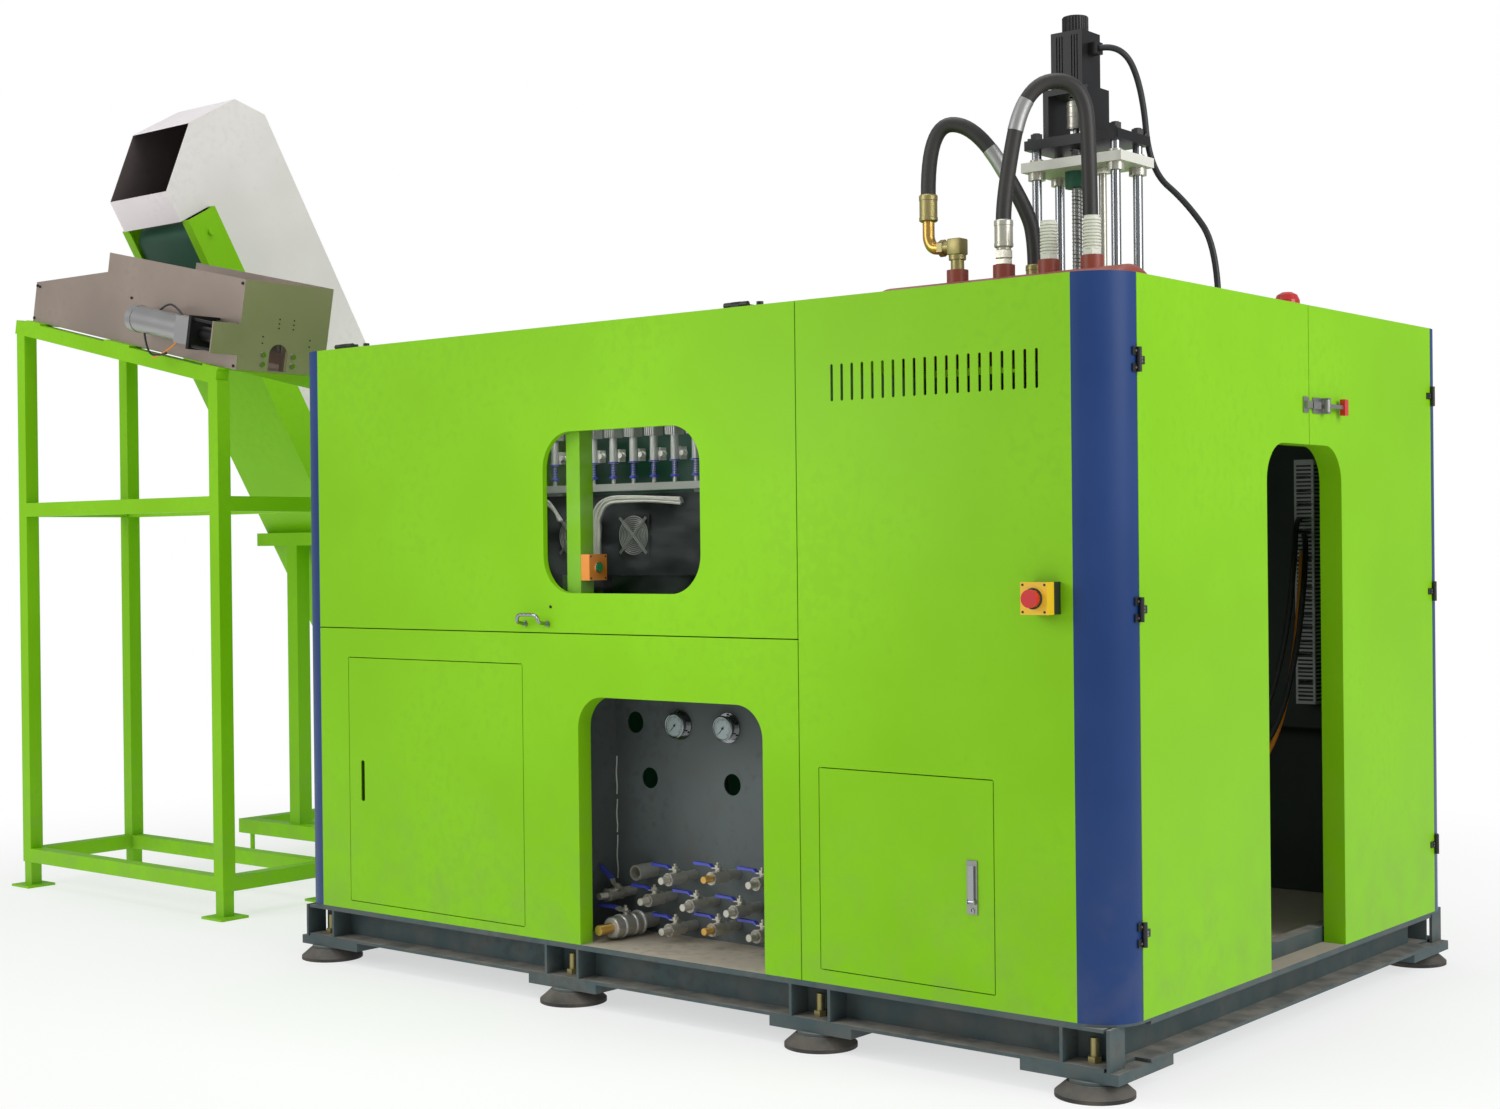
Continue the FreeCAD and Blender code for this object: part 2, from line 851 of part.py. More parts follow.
def make_base():
    """Make the welded base frame and its levelling mounts."""
    cross = "cabinet_depth-2*beam_width"
    end = "corner_step"
    parts = [
        slab("YZ", f"-cabinet_length+{end}", f"cabinet_length-2*{end}", beam_outline("0")),
        slab("YZ", f"-cabinet_length+{end}", f"cabinet_length-2*{end}",
             beam_outline("cabinet_depth-beam_width")),
        slab("XZ", "beam_width", cross, beam_outline("-beam_width")),
        slab("XZ", "beam_width", cross, beam_outline("-cabinet_length")),
        slab("XZ", "beam_width", cross, beam_outline("-foot_second_x-beam_width/2")),
        slab("XZ", "beam_width", cross, beam_outline("-foot_third_x-beam_width/2")),
        slab("XY", "deck-deck_plate", "deck_plate",
             ("round", "-cabinet_length", "0", "0", "cabinet_depth", "column_radius")),
    ]
    holes = []
    mounts = []
    mount = make_mount()
    inner = "(beam_width-beam_web)/2"
    rows = (("foot_inset_y", "0", "0"),
            ("cabinet_depth-foot_inset_y", "cabinet_depth-beam_width",
             f"cabinet_depth-{inner}"))
    far_foot = "(cabinet_length-foot_end_x)"
    for foot in ("foot_end_x", "foot_second_x", "foot_third_x", far_foot):
        for y, plate_y, rib_y in rows:
            corner = foot in ("foot_end_x", far_foot)
            deep = "foot_plate_length" if corner else "beam_width"
            if corner and y != "foot_inset_y":
                plate_y = "cabinet_depth-foot_plate_length"
            left = f"-{foot}-foot_plate_length/2"
            if foot == "foot_end_x":
                left = "-foot_plate_length-foot_edge"
            if foot == far_foot:
                left = "-cabinet_length+foot_edge"
            parts.append(box(left, plate_y, "pad_height", "foot_plate_length", deep, "foot_plate"))
            for side in ("-rib_gap/2-rib_thick", "+rib_gap/2"):
                parts.append(span(f"-{foot}{side}", rib_y, "pad_height+foot_plate",
                                  f"-{foot}{side}+rib_thick", f"{rib_y}+{inner}",
                                  "deck-deck_plate"))
            holes.append(rod("Z", f"-{foot}", y, "pad_height-1", "stud_radius+fit_clearance",
                             "foot_plate+beam_flange+2"))
            mounts.append(twin(mount, f"-{foot}", y))
    node(cut(fuse(*parts), *holes), "base_frame")
    node(group(*mounts), "levelling_mounts")


def make_mount():
    """Make one rubber mount with its steel cap, stud and nut."""
    rubber = turned("XZ", [("0", "0"), ("pad_radius", "0"), ("pad_radius", "pad_lip"),
                           ("pad_neck", "pad_height-pad_cap"), ("0", "pad_height-pad_cap")],
                    "V_Axis")
    cap = rod("Z", "0", "0", "pad_height-pad_cap", "pad_neck-4", "pad_cap")
    stud = rod("Z", "0", "0", "pad_height", "stud_radius", "stud_top-pad_height")
    nut = hexagon("0", "0", "pad_height+foot_plate+beam_flange", "nut_radius", "nut_height")
    return group(rubber, cap, fuse(stud, nut))


def make_frame():
    """Make the cabinet's inner frame with the well, saddles and window post."""
    top = "deck+cabinet_height-sheet"
    far = "-cabinet_length+frame_inset"
    near = "-frame_inset-post"
    front = "frame_front"
    back = "cabinet_depth-frame_front-post"
    parts = []
    for x in (far, near):
        for y in (front, back):
            parts.append(span(x, y, "deck", f"{x}+post", f"{y}+post", top))
        parts.append(span(x, f"{front}+post", f"{top}-post", f"{x}+post", back, top))
        parts.append(span(x, f"{front}+post", "deck", f"{x}+post", back, "deck+post"))
    for y in (front, back):
        parts.append(span(f"{far}+post", y, f"{top}-post", near, f"{y}+post", top))
    for y in ("well_front-post", "well_back"):
        parts.append(span(f"{far}+post", y, f"{top}-post", near, f"{y}+post", top))
    parts.append(span("-mount_plate_left", f"{back}-sheet", "mount_plate_low", f"{near}+post",
                      back, "mount_plate_high"))
    parts.append(span("-junction_x", "junction_y", f"{top}-well_rim-junction_side", near,
                      "junction_y+junction_side", f"{top}-well_rim"))
    split = "deck+split_height"
    inner = [span(f"{far}+post", front, f"{split}-post", "-groove_x-post", f"{front}+post", split),
             span("-groove_x-post", front, "deck", "-groove_x", f"{front}+post", f"{top}-post")]
    window_post = span("-window_post_x", "window_post_y", split, "-window_post_x+window_post",
                       "window_post_y+window_post", f"{top}-post")
    saddles = []
    for x in ("saddle_left", "saddle_right"):
        near_x = f"-{x}-saddle_thick/2"
        far_x = f"-{x}+saddle_thick/2"
        plate = [span(near_x, "well_front-post", "saddle_low", far_x, "well_back+post",
                      "saddle_low+saddle_tall"),
                 span(near_x, "tank_y-tank_radius", "saddle_low", far_x,
                      "tank_y+tank_radius", "tank_z-20")]
        for y in ("well_front-post", "well_back"):
            plate.append(span(near_x, y, "saddle_low", far_x, f"{y}+post", f"{top}-post"))
        seat = rod("X", f"{near_x}-1", "tank_y", "tank_z", "tank_radius", "saddle_thick+2")
        saddles.append(cut(fuse(*plate), seat))
    node(group(fuse(*parts), fuse(*inner), window_post, *saddles), "cabinet_frame")


def make_columns():
    """Make the four round corner columns."""
    corners = []
    for x, y, angle in (("-column_radius", "column_radius", -90),
                        ("-cabinet_length+column_radius", "column_radius", 180),
                        ("-cabinet_length+column_radius", "cabinet_depth-column_radius", 90),
                        ("-column_radius", "cabinet_depth-column_radius", 0)):
        quarter = []
        for radius in ("column_radius", "column_radius-column_skin"):
            pie = document.addObject("Part::Cylinder", "Quarter")
            pie.Angle = 90
            bind(pie, Radius=radius, Height="cabinet_height")
            quarter.append(place(pie, x, y, "deck", (0, 0, 1, angle)))
        corners.append(cut(*quarter))
    node(group(*corners), "corner_columns")


def pivot_pins(x, low, high):
    """Make the two hinge pins of an access door, each in a block behind the panel."""
    pins = []
    for start, pin in ((f"{low}-access_gap-pivot_block", f"{low}-access_gap-pivot_block/2"),
                       (f"{high}+access_gap", f"{high}-pivot_block/2")):
        pins.append(box(f"{x}-pivot_block/2", "sheet-0.5", start, "pivot_block",
                        "pivot_block-sheet", "pivot_block"))
        pins.append(rod("Z", x, "pivot_inset", pin, "pivot_radius",
                        "pivot_block+access_gap"))
    return pins


def pivot_ends(door, x, edge, low, high):
    """Add the two bored blocks that turn on a panel's hinge pins to an access door."""
    blocks = []
    bores = []
    for start in (low, f"{high}-pivot_block"):
        blocks.append(box(edge, "1", start, "pivot_block", "pivot_block-1", "pivot_block"))
    for start in (f"{low}-1", f"{high}-pivot_block/2-1"):
        bores.append(rod("Z", x, "pivot_inset", start, "pivot_radius+bore_clearance",
                         "pivot_block/2+2"))
    return cut(fuse(door, *blocks), *bores)


def make_front():
    """Make the fixed front panels, the end and rear sheets and the roof."""
    left = "-cabinet_length+column_radius"
    lower = pan("XZ", "0", "panel_depth", left, "deck", "-groove_x-panel_gap",
                "deck+split_height-panel_gap")
    opening(lower, "XZ", "0", "access_depth", "-cabinet_length+left_door_inset-access_gap",
            "left_door_low-access_gap", "-left_door_right+access_gap",
            "left_door_high+access_gap", "access_corner")
    opening(lower, "XZ", "0", "niche_return", "-niche_left", "deck", "-niche_right", "niche_high",
            "niche_corner", "deck")
    node(fuse(lower, *pivot_pins("-left_door_right-pivot_inset", "left_door_low",
                                 "left_door_high")), "front_lower_panel")

    right = pan("XZ", "0", "panel_depth", "-groove_x", "deck", "-column_radius",
                "deck+cabinet_height")
    opening(right, "XZ", "0", "access_depth", "-right_door_left-access_gap",
            "right_door_low-access_gap", "-right_door_right+access_gap",
            "right_door_high+access_gap", "access_corner")
    vent = pocket(right, "XZ", "0", "sheet",
                  ("round", "-vent_left", "vent_low", "-vent_left+vent_width", "vent_high",
                   "vent_width/2-0.2"))
    row = right.newObject("PartDesign::LinearPattern", "VentRow")
    row.Originals = [vent]
    row.Direction = (vent.Profile[0], ["H_Axis"])
    bind(row, Length="vent_span", Occurrences="vent_count")
    right.Tip = row
    node(fuse(right, *pivot_pins("-right_door_left+pivot_inset", "right_door_low",
                                 "right_door_high")), "front_right_panel")

    back_x = "-column_radius"
    end = span("-cabinet_length", "column_radius", "deck", "-cabinet_length+sheet",
               "cabinet_depth-column_radius", "deck+cabinet_height")
    rear = span(left, "cabinet_depth-sheet", "deck", back_x, "cabinet_depth",
                "deck+cabinet_height")
    node(group(end, rear), "end_and_rear_panels")

    roof = slab("XY", "deck+cabinet_height-sheet", "sheet",
                ("round", "-cabinet_length+column_skin+1", "column_skin+1", "-column_skin-1",
                 "cabinet_depth-column_skin-1", "column_radius-column_skin-1"))
    level = "deck+cabinet_height-sheet"
    pocket(roof, "XY", level, "sheet", ("box", f"{left}-1", "-5", "-groove_x+1", "panel_depth+1"))
    pocket(roof, "XY", level, "sheet", ("box", "-groove_x-2", "-5", "-column_radius+1",
                                        "panel_depth+1"))
    pocket(roof, "XY", level, "sheet", ("box", "-side_depth-1", "column_radius-1", "5",
                                        "cabinet_depth-column_radius+1"))
    pad(roof, "XY", f"{level}-well_rim", "well_rim", ("round", "-well_left", "well_front",
                                                      "-well_right", "well_back", "20"))
    pocket(roof, "XY", f"{level}-well_rim", "well_rim+2*sheet",
           ("round", "-well_left+sheet", "well_front+sheet", "-well_right-sheet",
            "well_back-sheet", "20-sheet"))
    node(roof, "roof_panel")


def make_lever(width, length):
    """Make one cranked valve lever; its stem bore is at the origin."""
    strip = slab("XZ", f"-({width})/2", width, ("polygon", [
        ("lever_nose", "0"), ("lever_nose", "lever_thick"),
        ("-lever_crank", "lever_thick"), ("-lever_step", "lever_rise+lever_thick"),
        (f"-({length})", "lever_rise+sleeve_thick/2+lever_thick/2"),
        (f"-({length})", "lever_rise-sleeve_thick/2+lever_thick/2"),
        ("-lever_step-4", "lever_rise-sleeve_thick/2+lever_thick/2"),
        ("-lever_crank-lever_thick/2", "0")]))
    bore = rod("Z", "0", "0", "-1", "stem_pin_radius+bore_clearance", "lever_thick+2")
    return cut(strip, bore)


def make_valve(pipe_radius, pipe, radius, body, top, stem):
    """Make one ball valve lying along -Y from the origin."""
    middle = f"-({pipe})-({body})/2"
    return fuse(
        rod("Y", "0", f"-({pipe})", "0", pipe_radius, pipe),
        rod("Y", "0", f"-({pipe})-({body})", "0", radius, body),
        rod("Z", "0", middle, f"({radius})/2", "collar_radius", f"({top})-({radius})/2"),
        rod("Z", "0", middle, top, "stem_pin_radius", f"({stem})-({top})"),
        hexagon("0", middle, f"({top})+lever_thick+fit_clearance", "collar_radius+1",
                f"({stem})-({top})-lever_thick-fit_clearance-2"))


def make_valves():
    """Make the niche box, twelve valves, eleven levers and the two gauges."""
    niche_face = "niche_back"
    bores = []
    for x, z, radius in (("gauge_gap_x", "gauge_z", "gauge_gap_radius"),
                         ("port_first_x", "port_z", "port_radius"),
                         ("port_second_x", "port_z", "port_radius"),
                         ("gauge_first_x", "gauge_z", "gauge_body_radius+fit_clearance"),
                         ("gauge_second_x", "gauge_z", "gauge_body_radius+fit_clearance")):
        bores.append(rod("Y", f"-{x}", f"{niche_face}-1", z, radius, "sheet+2"))
    shell = slab("XZ", "niche_return+2", "niche_back+sheet-niche_return-2",
                 ("box", "-niche_box_left", "deck", "-niche_box_right", "niche_box_high"))
    pocket(shell, "XZ", "niche_return+2", "niche_back-niche_return-2",
           ("box", "-niche_box_left+sheet", "deck-5", "-niche_box_right-sheet",
            "niche_box_high-sheet"))
    node(cut(shell, *bores), "valve_niche")

    small = make_valve("pipe_radius", "pipe_length", "valve_radius", "valve_length", "collar_top",
                       "stem_top")
    big = make_valve("big_pipe_radius", "big_pipe_length", "big_valve_radius", "big_valve_length",
                     "big_collar_top", "big_stem_top")
    lever = make_lever("lever_width", "lever_length")
    long_lever = make_lever("lever_width*1.4", "lever_length*1.2")
    pieces = [cut(rod("Y", "-valve_first_x", f"{niche_face}-open_stub_length", "valve_row_top",
                      "open_stub_radius", "open_stub_length"),
                  rod("Y", "-valve_first_x", f"{niche_face}-open_stub_length-1", "valve_row_top",
                      "open_stub_bore", "open_stub_length"))]
    spots = []
    for i in (1, 2, 3):
        raised = "+valve_raise" if i > 1 else ""
        spots.append((f"-valve_first_x+{i}*valve_pitch", f"valve_row_top{raised}", i == 2))
    for i in range(4):
        spots.append((f"-valve_first_x-valve_half+{i}*valve_pitch", "valve_row_mid", False))
    for i in range(4):
        raised = "+valve_raise" if i > 1 else ""
        spots.append((f"-valve_first_x+{i}*valve_pitch", f"valve_row_low{raised}", i in (0, 2)))
    for number, (x, z, nipple) in enumerate(spots, start=1):
        large = number == 8
        tilt = read("lever_tilt") if number == 4 else 0
        kind = "big_" if large else ""
        length = f"{kind}pipe_length+{kind}valve_length"
        turn = (0, 1, 0, tilt)
        pieces.append(twin(big if large else small, x, niche_face, z, turn))
        if nipple:
            pieces.append(rod("Y", x, f"{niche_face}-({length})-{kind}nipple_length", z,
                              f"{kind}nipple_radius", f"{kind}nipple_length"))
        top = f"({kind}collar_top+fit_clearance/4)"
        sin = round(math.sin(math.radians(tilt)), 6)
        cos = round(math.cos(math.radians(tilt)), 6)
        node(group(twin(long_lever if large else lever, f"({x})+{top}*{sin}",
                        f"{niche_face}-{kind}pipe_length-{kind}valve_length/2",
                        f"({z})+{top}*{cos}", turn)), f"valve_lever_{number:02d}")
    node(group(*pieces), "ball_valves")

    gauges = []
    for x in ("gauge_first_x", "gauge_second_x"):
        gauges.append(fuse(
            rod("Y", f"-{x}", f"{niche_face}-gauge_flange", "gauge_z", "gauge_flange_radius",
                "gauge_flange"),
            rod("Y", f"-{x}", f"{niche_face}-gauge_body", "gauge_z", "gauge_body_radius",
                "gauge_body*2")))
    node(group(*gauges), "pressure_gauges")


def make_doors():
    """Make the lift door with its window and the two flush access doors."""
    left = "-cabinet_length+column_radius"
    low = "deck+split_height"
    high = "deck+cabinet_height"
    door = pan("XZ", "0", "panel_depth", left, low, "-groove_x-panel_gap", high)
    opening(door, "XZ", "0", "window_rim", "-window_left", "window_low", "-window_right",
            "window_high", "window_corner")
    grip = sweep([("-handle_left", "0", "handle_foot_z"),
                  ("-handle_left", "-handle_reach", "handle_foot_z+6"),
                  ("-handle_left+8", "-handle_reach-2", "handle_foot_z+handle_rise"),
                  ("-handle_right-8", "-handle_reach-2", "handle_foot_z+handle_rise"),
                  ("-handle_right", "-handle_reach", "handle_foot_z+6"),
                  ("-handle_right", "0", "handle_foot_z")], "handle_radius")
    parts = [door, grip]
    for x in ("handle_left", "handle_right"):
        parts.append(rod("Y", f"-{x}", "-handle_boss/2", "handle_foot_z", "handle_boss",
                         "handle_boss/2"))
    far_hinge = "(cabinet_length-lift_hinge_inset)"
    for x in ("lift_hinge_right", far_hinge):
        edge = f"-{x}-lift_lug_width/2"
        lug = fuse(box(edge, "lift_axis_y-lift_lug_radius", f"{high}-sheet-20", "lift_lug_width",
                       "lift_lug_radius", "lift_axis_z-deck-cabinet_height+sheet+20"),
                   rod("X", edge, "lift_axis_y", "lift_axis_z", "lift_lug_radius",
                       "lift_lug_width"))
        parts.append(lug)
    bores = [rod("X", f"-{x}-lift_lug_width", "lift_axis_y", "lift_axis_z",
                 "lift_pin_radius+bore_clearance", "2*lift_lug_width")
             for x in ("lift_hinge_right", far_hinge)]
    node(cut(fuse(*parts), *bores), "lift_door")
    pane = slab("XZ", "window_rim", "pane_thick",
                ("round", "-window_left-pane_lap", "window_low-pane_lap",
                 "-window_right+pane_lap", "window_high+pane_lap", "window_corner+pane_lap"))
    node(pane, "lift_door_window")

    door_left = "-cabinet_length+left_door_inset"
    slot_left = f"{door_left}+left_slot_inset"
    left_door = pan("XZ", "0", "access_depth", door_left, "left_door_low", "-left_door_right",
                    "left_door_high")
    pocket(left_door, "XZ", "0", "sheet", ("round", slot_left, "left_slot_low",
                                           f"{slot_left}+left_slot_width", "left_slot_high",
                                           "6"))
    node(pivot_ends(left_door, "-left_door_right-pivot_inset", "-left_door_right-pivot_block",
                    "left_door_low", "left_door_high"), "left_access_door")

    right_door = pan("XZ", "0", "access_depth", "-right_door_left", "right_door_low",
                     "-right_door_right", "right_door_high")
    middle = "-(latch_left+latch_right)/2"
    plate = span("-latch_left", "-latch_plate", "latch_low", "-latch_right", "0", "latch_high")
    key = rod("Y", middle, "-latch_plate-2", "key_z-2", "key_radius", "2")
    lugs = [span(f"{middle}-paddle_width/2-3", "-latch_pin_y-4", "latch_pin_z+4",
                 f"{middle}-paddle_width/2", "-latch_plate", "latch_pin_z+14"),
            span(f"{middle}+paddle_width/2", "-latch_pin_y-4", "latch_pin_z+4",
                 f"{middle}+paddle_width/2+3", "-latch_plate", "latch_pin_z+14"),
            rod("X", f"{middle}-paddle_width/2-1", "-latch_pin_y", "latch_pin_z+9",
                "latch_pin_radius", "paddle_width+2")]
    node(pivot_ends(fuse(right_door, plate, key, *lugs), "-right_door_left+pivot_inset",
                    "-right_door_left", "right_door_low", "right_door_high"),
         "right_access_door")
    paddle = fuse(box(f"{middle}-paddle_width/2+fit_clearance", "-latch_plate-paddle_thick-0.5",
                      "latch_pin_z+9", "paddle_width-2*fit_clearance", "paddle_thick",
                      "paddle_length"),
                  rod("X", f"{middle}-paddle_width/2+fit_clearance", "-latch_pin_y",
                      "latch_pin_z+9", "latch_pin_radius+1.2", "paddle_width-2*fit_clearance"))
    bore = rod("X", f"{middle}-paddle_width", "-latch_pin_y", "latch_pin_z+9",
               "latch_pin_radius+bore_clearance", "2*paddle_width")
    node(cut(paddle, bore), "latch_handle")


def make_side():
    """Make the two right side doors with hinges and the toggle latch."""
    fixed = []
    doors = []
    for label, y, y_end, axis_y, way, way_end in (
            ("side_door_front", "column_radius+2", "door_split-1.5", "column_radius",
             "side_way_front", "door_split+side_way_corner+20"),
            ("side_door_rear", "door_split+1.5", "cabinet_depth-column_radius-2",
             "cabinet_depth-column_radius", "door_split-side_way_corner-20",
             "side_way_back")):
        door = pan("YZ", "0", "side_depth", y, "deck", y_end, "deck+cabinet_height")
        rim = "side_way_return"
        pad(door, "YZ", f"-{rim}", rim, ("round", f"{way}-sheet", "deck-200",
                                         f"{way_end}+sheet", "side_way_high+sheet",
                                         "side_way_corner"))
        pocket(door, "YZ", f"-{rim}-1", f"{rim}+2", ("box", f"{way}-10", "deck-250",
                                                    f"{way_end}+10", "deck"))
        if label == "side_door_front":
            pocket(door, "YZ", f"-{rim}-1", f"{rim}+2", ("box", y_end, "deck-5",
                                                         f"{way_end}+10", "side_way_high+10"))
        else:
            pocket(door, "YZ", f"-{rim}-1", f"{rim}+2", ("box", f"{way}-10", "deck-5",
                                                         y, "side_way_high+10"))
        pocket(door, "YZ", f"-{rim}-1", f"{rim}+2", ("round", way, "deck-200", way_end,
                                                    "side_way_high", "side_way_corner-sheet"))
        parts = [door]
        front = label == "side_door_front"
        for z in ("hinge_low", "hinge_mid", "hinge_high"):
            third = "hinge_tall/3"
            wing = axis_y if front else f"{axis_y}-hinge_wing"
            parts.append(box("0", wing, f"{z}+{third}+knuckle_gap", "hinge_thick", "hinge_wing",
                             f"{third}-2*knuckle_gap"))
            parts.append(cut(rod("Z", "hinge_axis_x", axis_y, f"{z}+{third}+knuckle_gap",
                                 "knuckle_radius", f"{third}-2*knuckle_gap"),
                             rod("Z", "hinge_axis_x", axis_y, z, "knuckle_pin+bore_clearance",
                                 "hinge_tall")))
            leaf = f"{axis_y}-hinge_wing+12" if front else axis_y
            fixed.append(fuse(
                box("0", leaf, z, "hinge_thick", "hinge_wing-12", f"{third}"),
                box("0", leaf, f"{z}+2*{third}", "hinge_thick", "hinge_wing-12", f"{third}"),
                rod("Z", "hinge_axis_x", axis_y, z, "knuckle_radius", third),
                rod("Z", "hinge_axis_x", axis_y, f"{z}+2*{third}", "knuckle_radius", third),
                rod("Z", "hinge_axis_x", axis_y, z, "knuckle_pin", "hinge_tall")))
        if front:
            parts.append(span("0", "keeper_front", "toggle_z-toggle_tall/2", "toggle_base_thick",
                              "keeper_back", "toggle_z+toggle_tall/2"))
            parts.append(span("0", "keeper_front+6", "toggle_z-9", "12", "door_split-3",
                              "toggle_z+9"))
        doors.append((fuse(*parts), label))
    far_hinge = "(cabinet_length-lift_hinge_inset)"
    for x in ("lift_hinge_right", far_hinge):
        wide = "(lift_lug_width/2+fit_clearance)"
        sides = []
        for edge in (f"-{x}-{wide}-lift_side_lug", f"-{x}+{wide}"):
            sides.append(box(edge, "lift_axis_y", "deck+cabinet_height+0.5", "lift_side_lug",
                             "lift_bracket_back-lift_axis_y", "lift_bracket_thick"))
            sides.append(rod("X", edge, "lift_axis_y", "lift_axis_z", "lift_lug_radius-0.5",
                             "lift_side_lug"))
            sides.append(rod("Z", f"{edge}+lift_side_lug/2", "lift_bracket_back-20",
                             "deck+cabinet_height+lift_bracket_thick", "bolt_radius",
                             "bolt_height"))
        sides.append(box(f"-{x}-{wide}-lift_side_lug", "lift_bracket_back-46",
                         "deck+cabinet_height", f"2*({wide}+lift_side_lug)", "46",
                         "lift_bracket_thick"))
        sides.append(rod("X", f"-{x}-{wide}-1", "lift_axis_y", "lift_axis_z", "lift_pin_radius",
                         f"2*({wide}+1)"))
        fixed.append(fuse(*sides))
    for shape, label in doors:
        node(shape, label)
    node(group(*fixed), "hinge_leaves")

    pivot = ("Z", "toggle_pivot_x", "toggle_pivot_y")
    cheek = "toggle_tall/2"
    base = fuse(
        span("0", "toggle_base_front", f"toggle_z-{cheek}", "toggle_base_thick",
             "toggle_base_back", f"toggle_z+{cheek}"),
        span("0", "toggle_pivot_y-9", f"toggle_z-{cheek}", "toggle_pivot_x+6",
             "toggle_pivot_y+9", f"toggle_z-{cheek}+4"),
        span("0", "toggle_pivot_y-9", f"toggle_z+{cheek}-4", "toggle_pivot_x+6",
             "toggle_pivot_y+9", f"toggle_z+{cheek}"),
        span("0", "door_split+3", "toggle_z-9", "12", "toggle_base_front+30", "toggle_z+9"),
        rod(*pivot, f"toggle_z-{cheek}+1", "toggle_pin", "toggle_tall-2"))
    node(base, "toggle_latch_base")
    inside = "toggle_tall/2-4-fit_clearance"
    arm = fuse(
        rod(*pivot, f"toggle_z-({inside})", "toggle_pin+4", f"2*({inside})"),
        span("toggle_pivot_x-4", "toggle_pivot_y+2", "toggle_z-5", "toggle_pivot_x+4",
             "toggle_stem_end", "toggle_z+5"),
        span("toggle_pivot_x-6", "toggle_stem_end-2", "toggle_z-toggle_grip_tall/2",
             "toggle_pivot_x+8", "toggle_stem_end+toggle_grip", "toggle_z+toggle_grip_tall/2"))
    hole = rod(*pivot, f"toggle_z-{cheek}", "toggle_pin+bore_clearance", "toggle_tall")
    node(cut(arm, hole), "toggle_lever")


def make_buttons():
    """Make the two button boxes and their moving buttons."""
    left = "-stop_x-stop_width/2"
    low = "stop_z-stop_height/2"
    base = box(left, "-stop_base", low, "stop_width", "stop_base", "stop_height")
    lid = box(left, "-stop_base-stop_lid", low, "stop_width", "stop_lid", "stop_height")
    disc = rod("Y", "-stop_x", "-stop_base-stop_lid-stop_disc", "stop_z", "stop_disc_radius",
               "stop_disc")
    face = "-stop_base-stop_lid-stop_disc"
    well = rod("Y", "-stop_x", f"{face}-1", "stop_z", "stem_radius+bore_clearance",
               "stem_length+stop_travel+1")
    start_x = "-window_post_x+window_post"
    start_low = box(start_x, "start_y", "start_low", "start_deep/2", "start_side", "start_tall")
    start_lid = box(f"{start_x}+start_deep/2", "start_y", "start_low", "start_deep/2",
                    "start_side", "start_tall")
    middle = ("start_y+start_side/2", "start_low+start_tall/2")
    collar = rod("X", f"{start_x}+start_deep", *middle, "start_collar", "3")
    bore = rod("X", f"{start_x}+start_deep-12", *middle, "start_radius+bore_clearance", "20")
    node(group(base, cut(lid, well), cut(disc, well), start_low, cut(start_lid, bore),
               cut(collar, bore)), "button_boxes")
    rise = "stop_travel+1"
    node(fuse(rod("Y", "-stop_x", f"{face}-({rise})", "stop_z", "stem_radius",
                  f"stem_length+{rise}-stop_travel"),
              rod("Y", "-stop_x", f"{face}-({rise})-stop_head", "stop_z", "stop_head_radius",
                  "stop_head")), "estop_button")
    node(rod("X", f"{start_x}+start_deep+start_rise-10", *middle, "start_radius", "10"),
         "start_button")


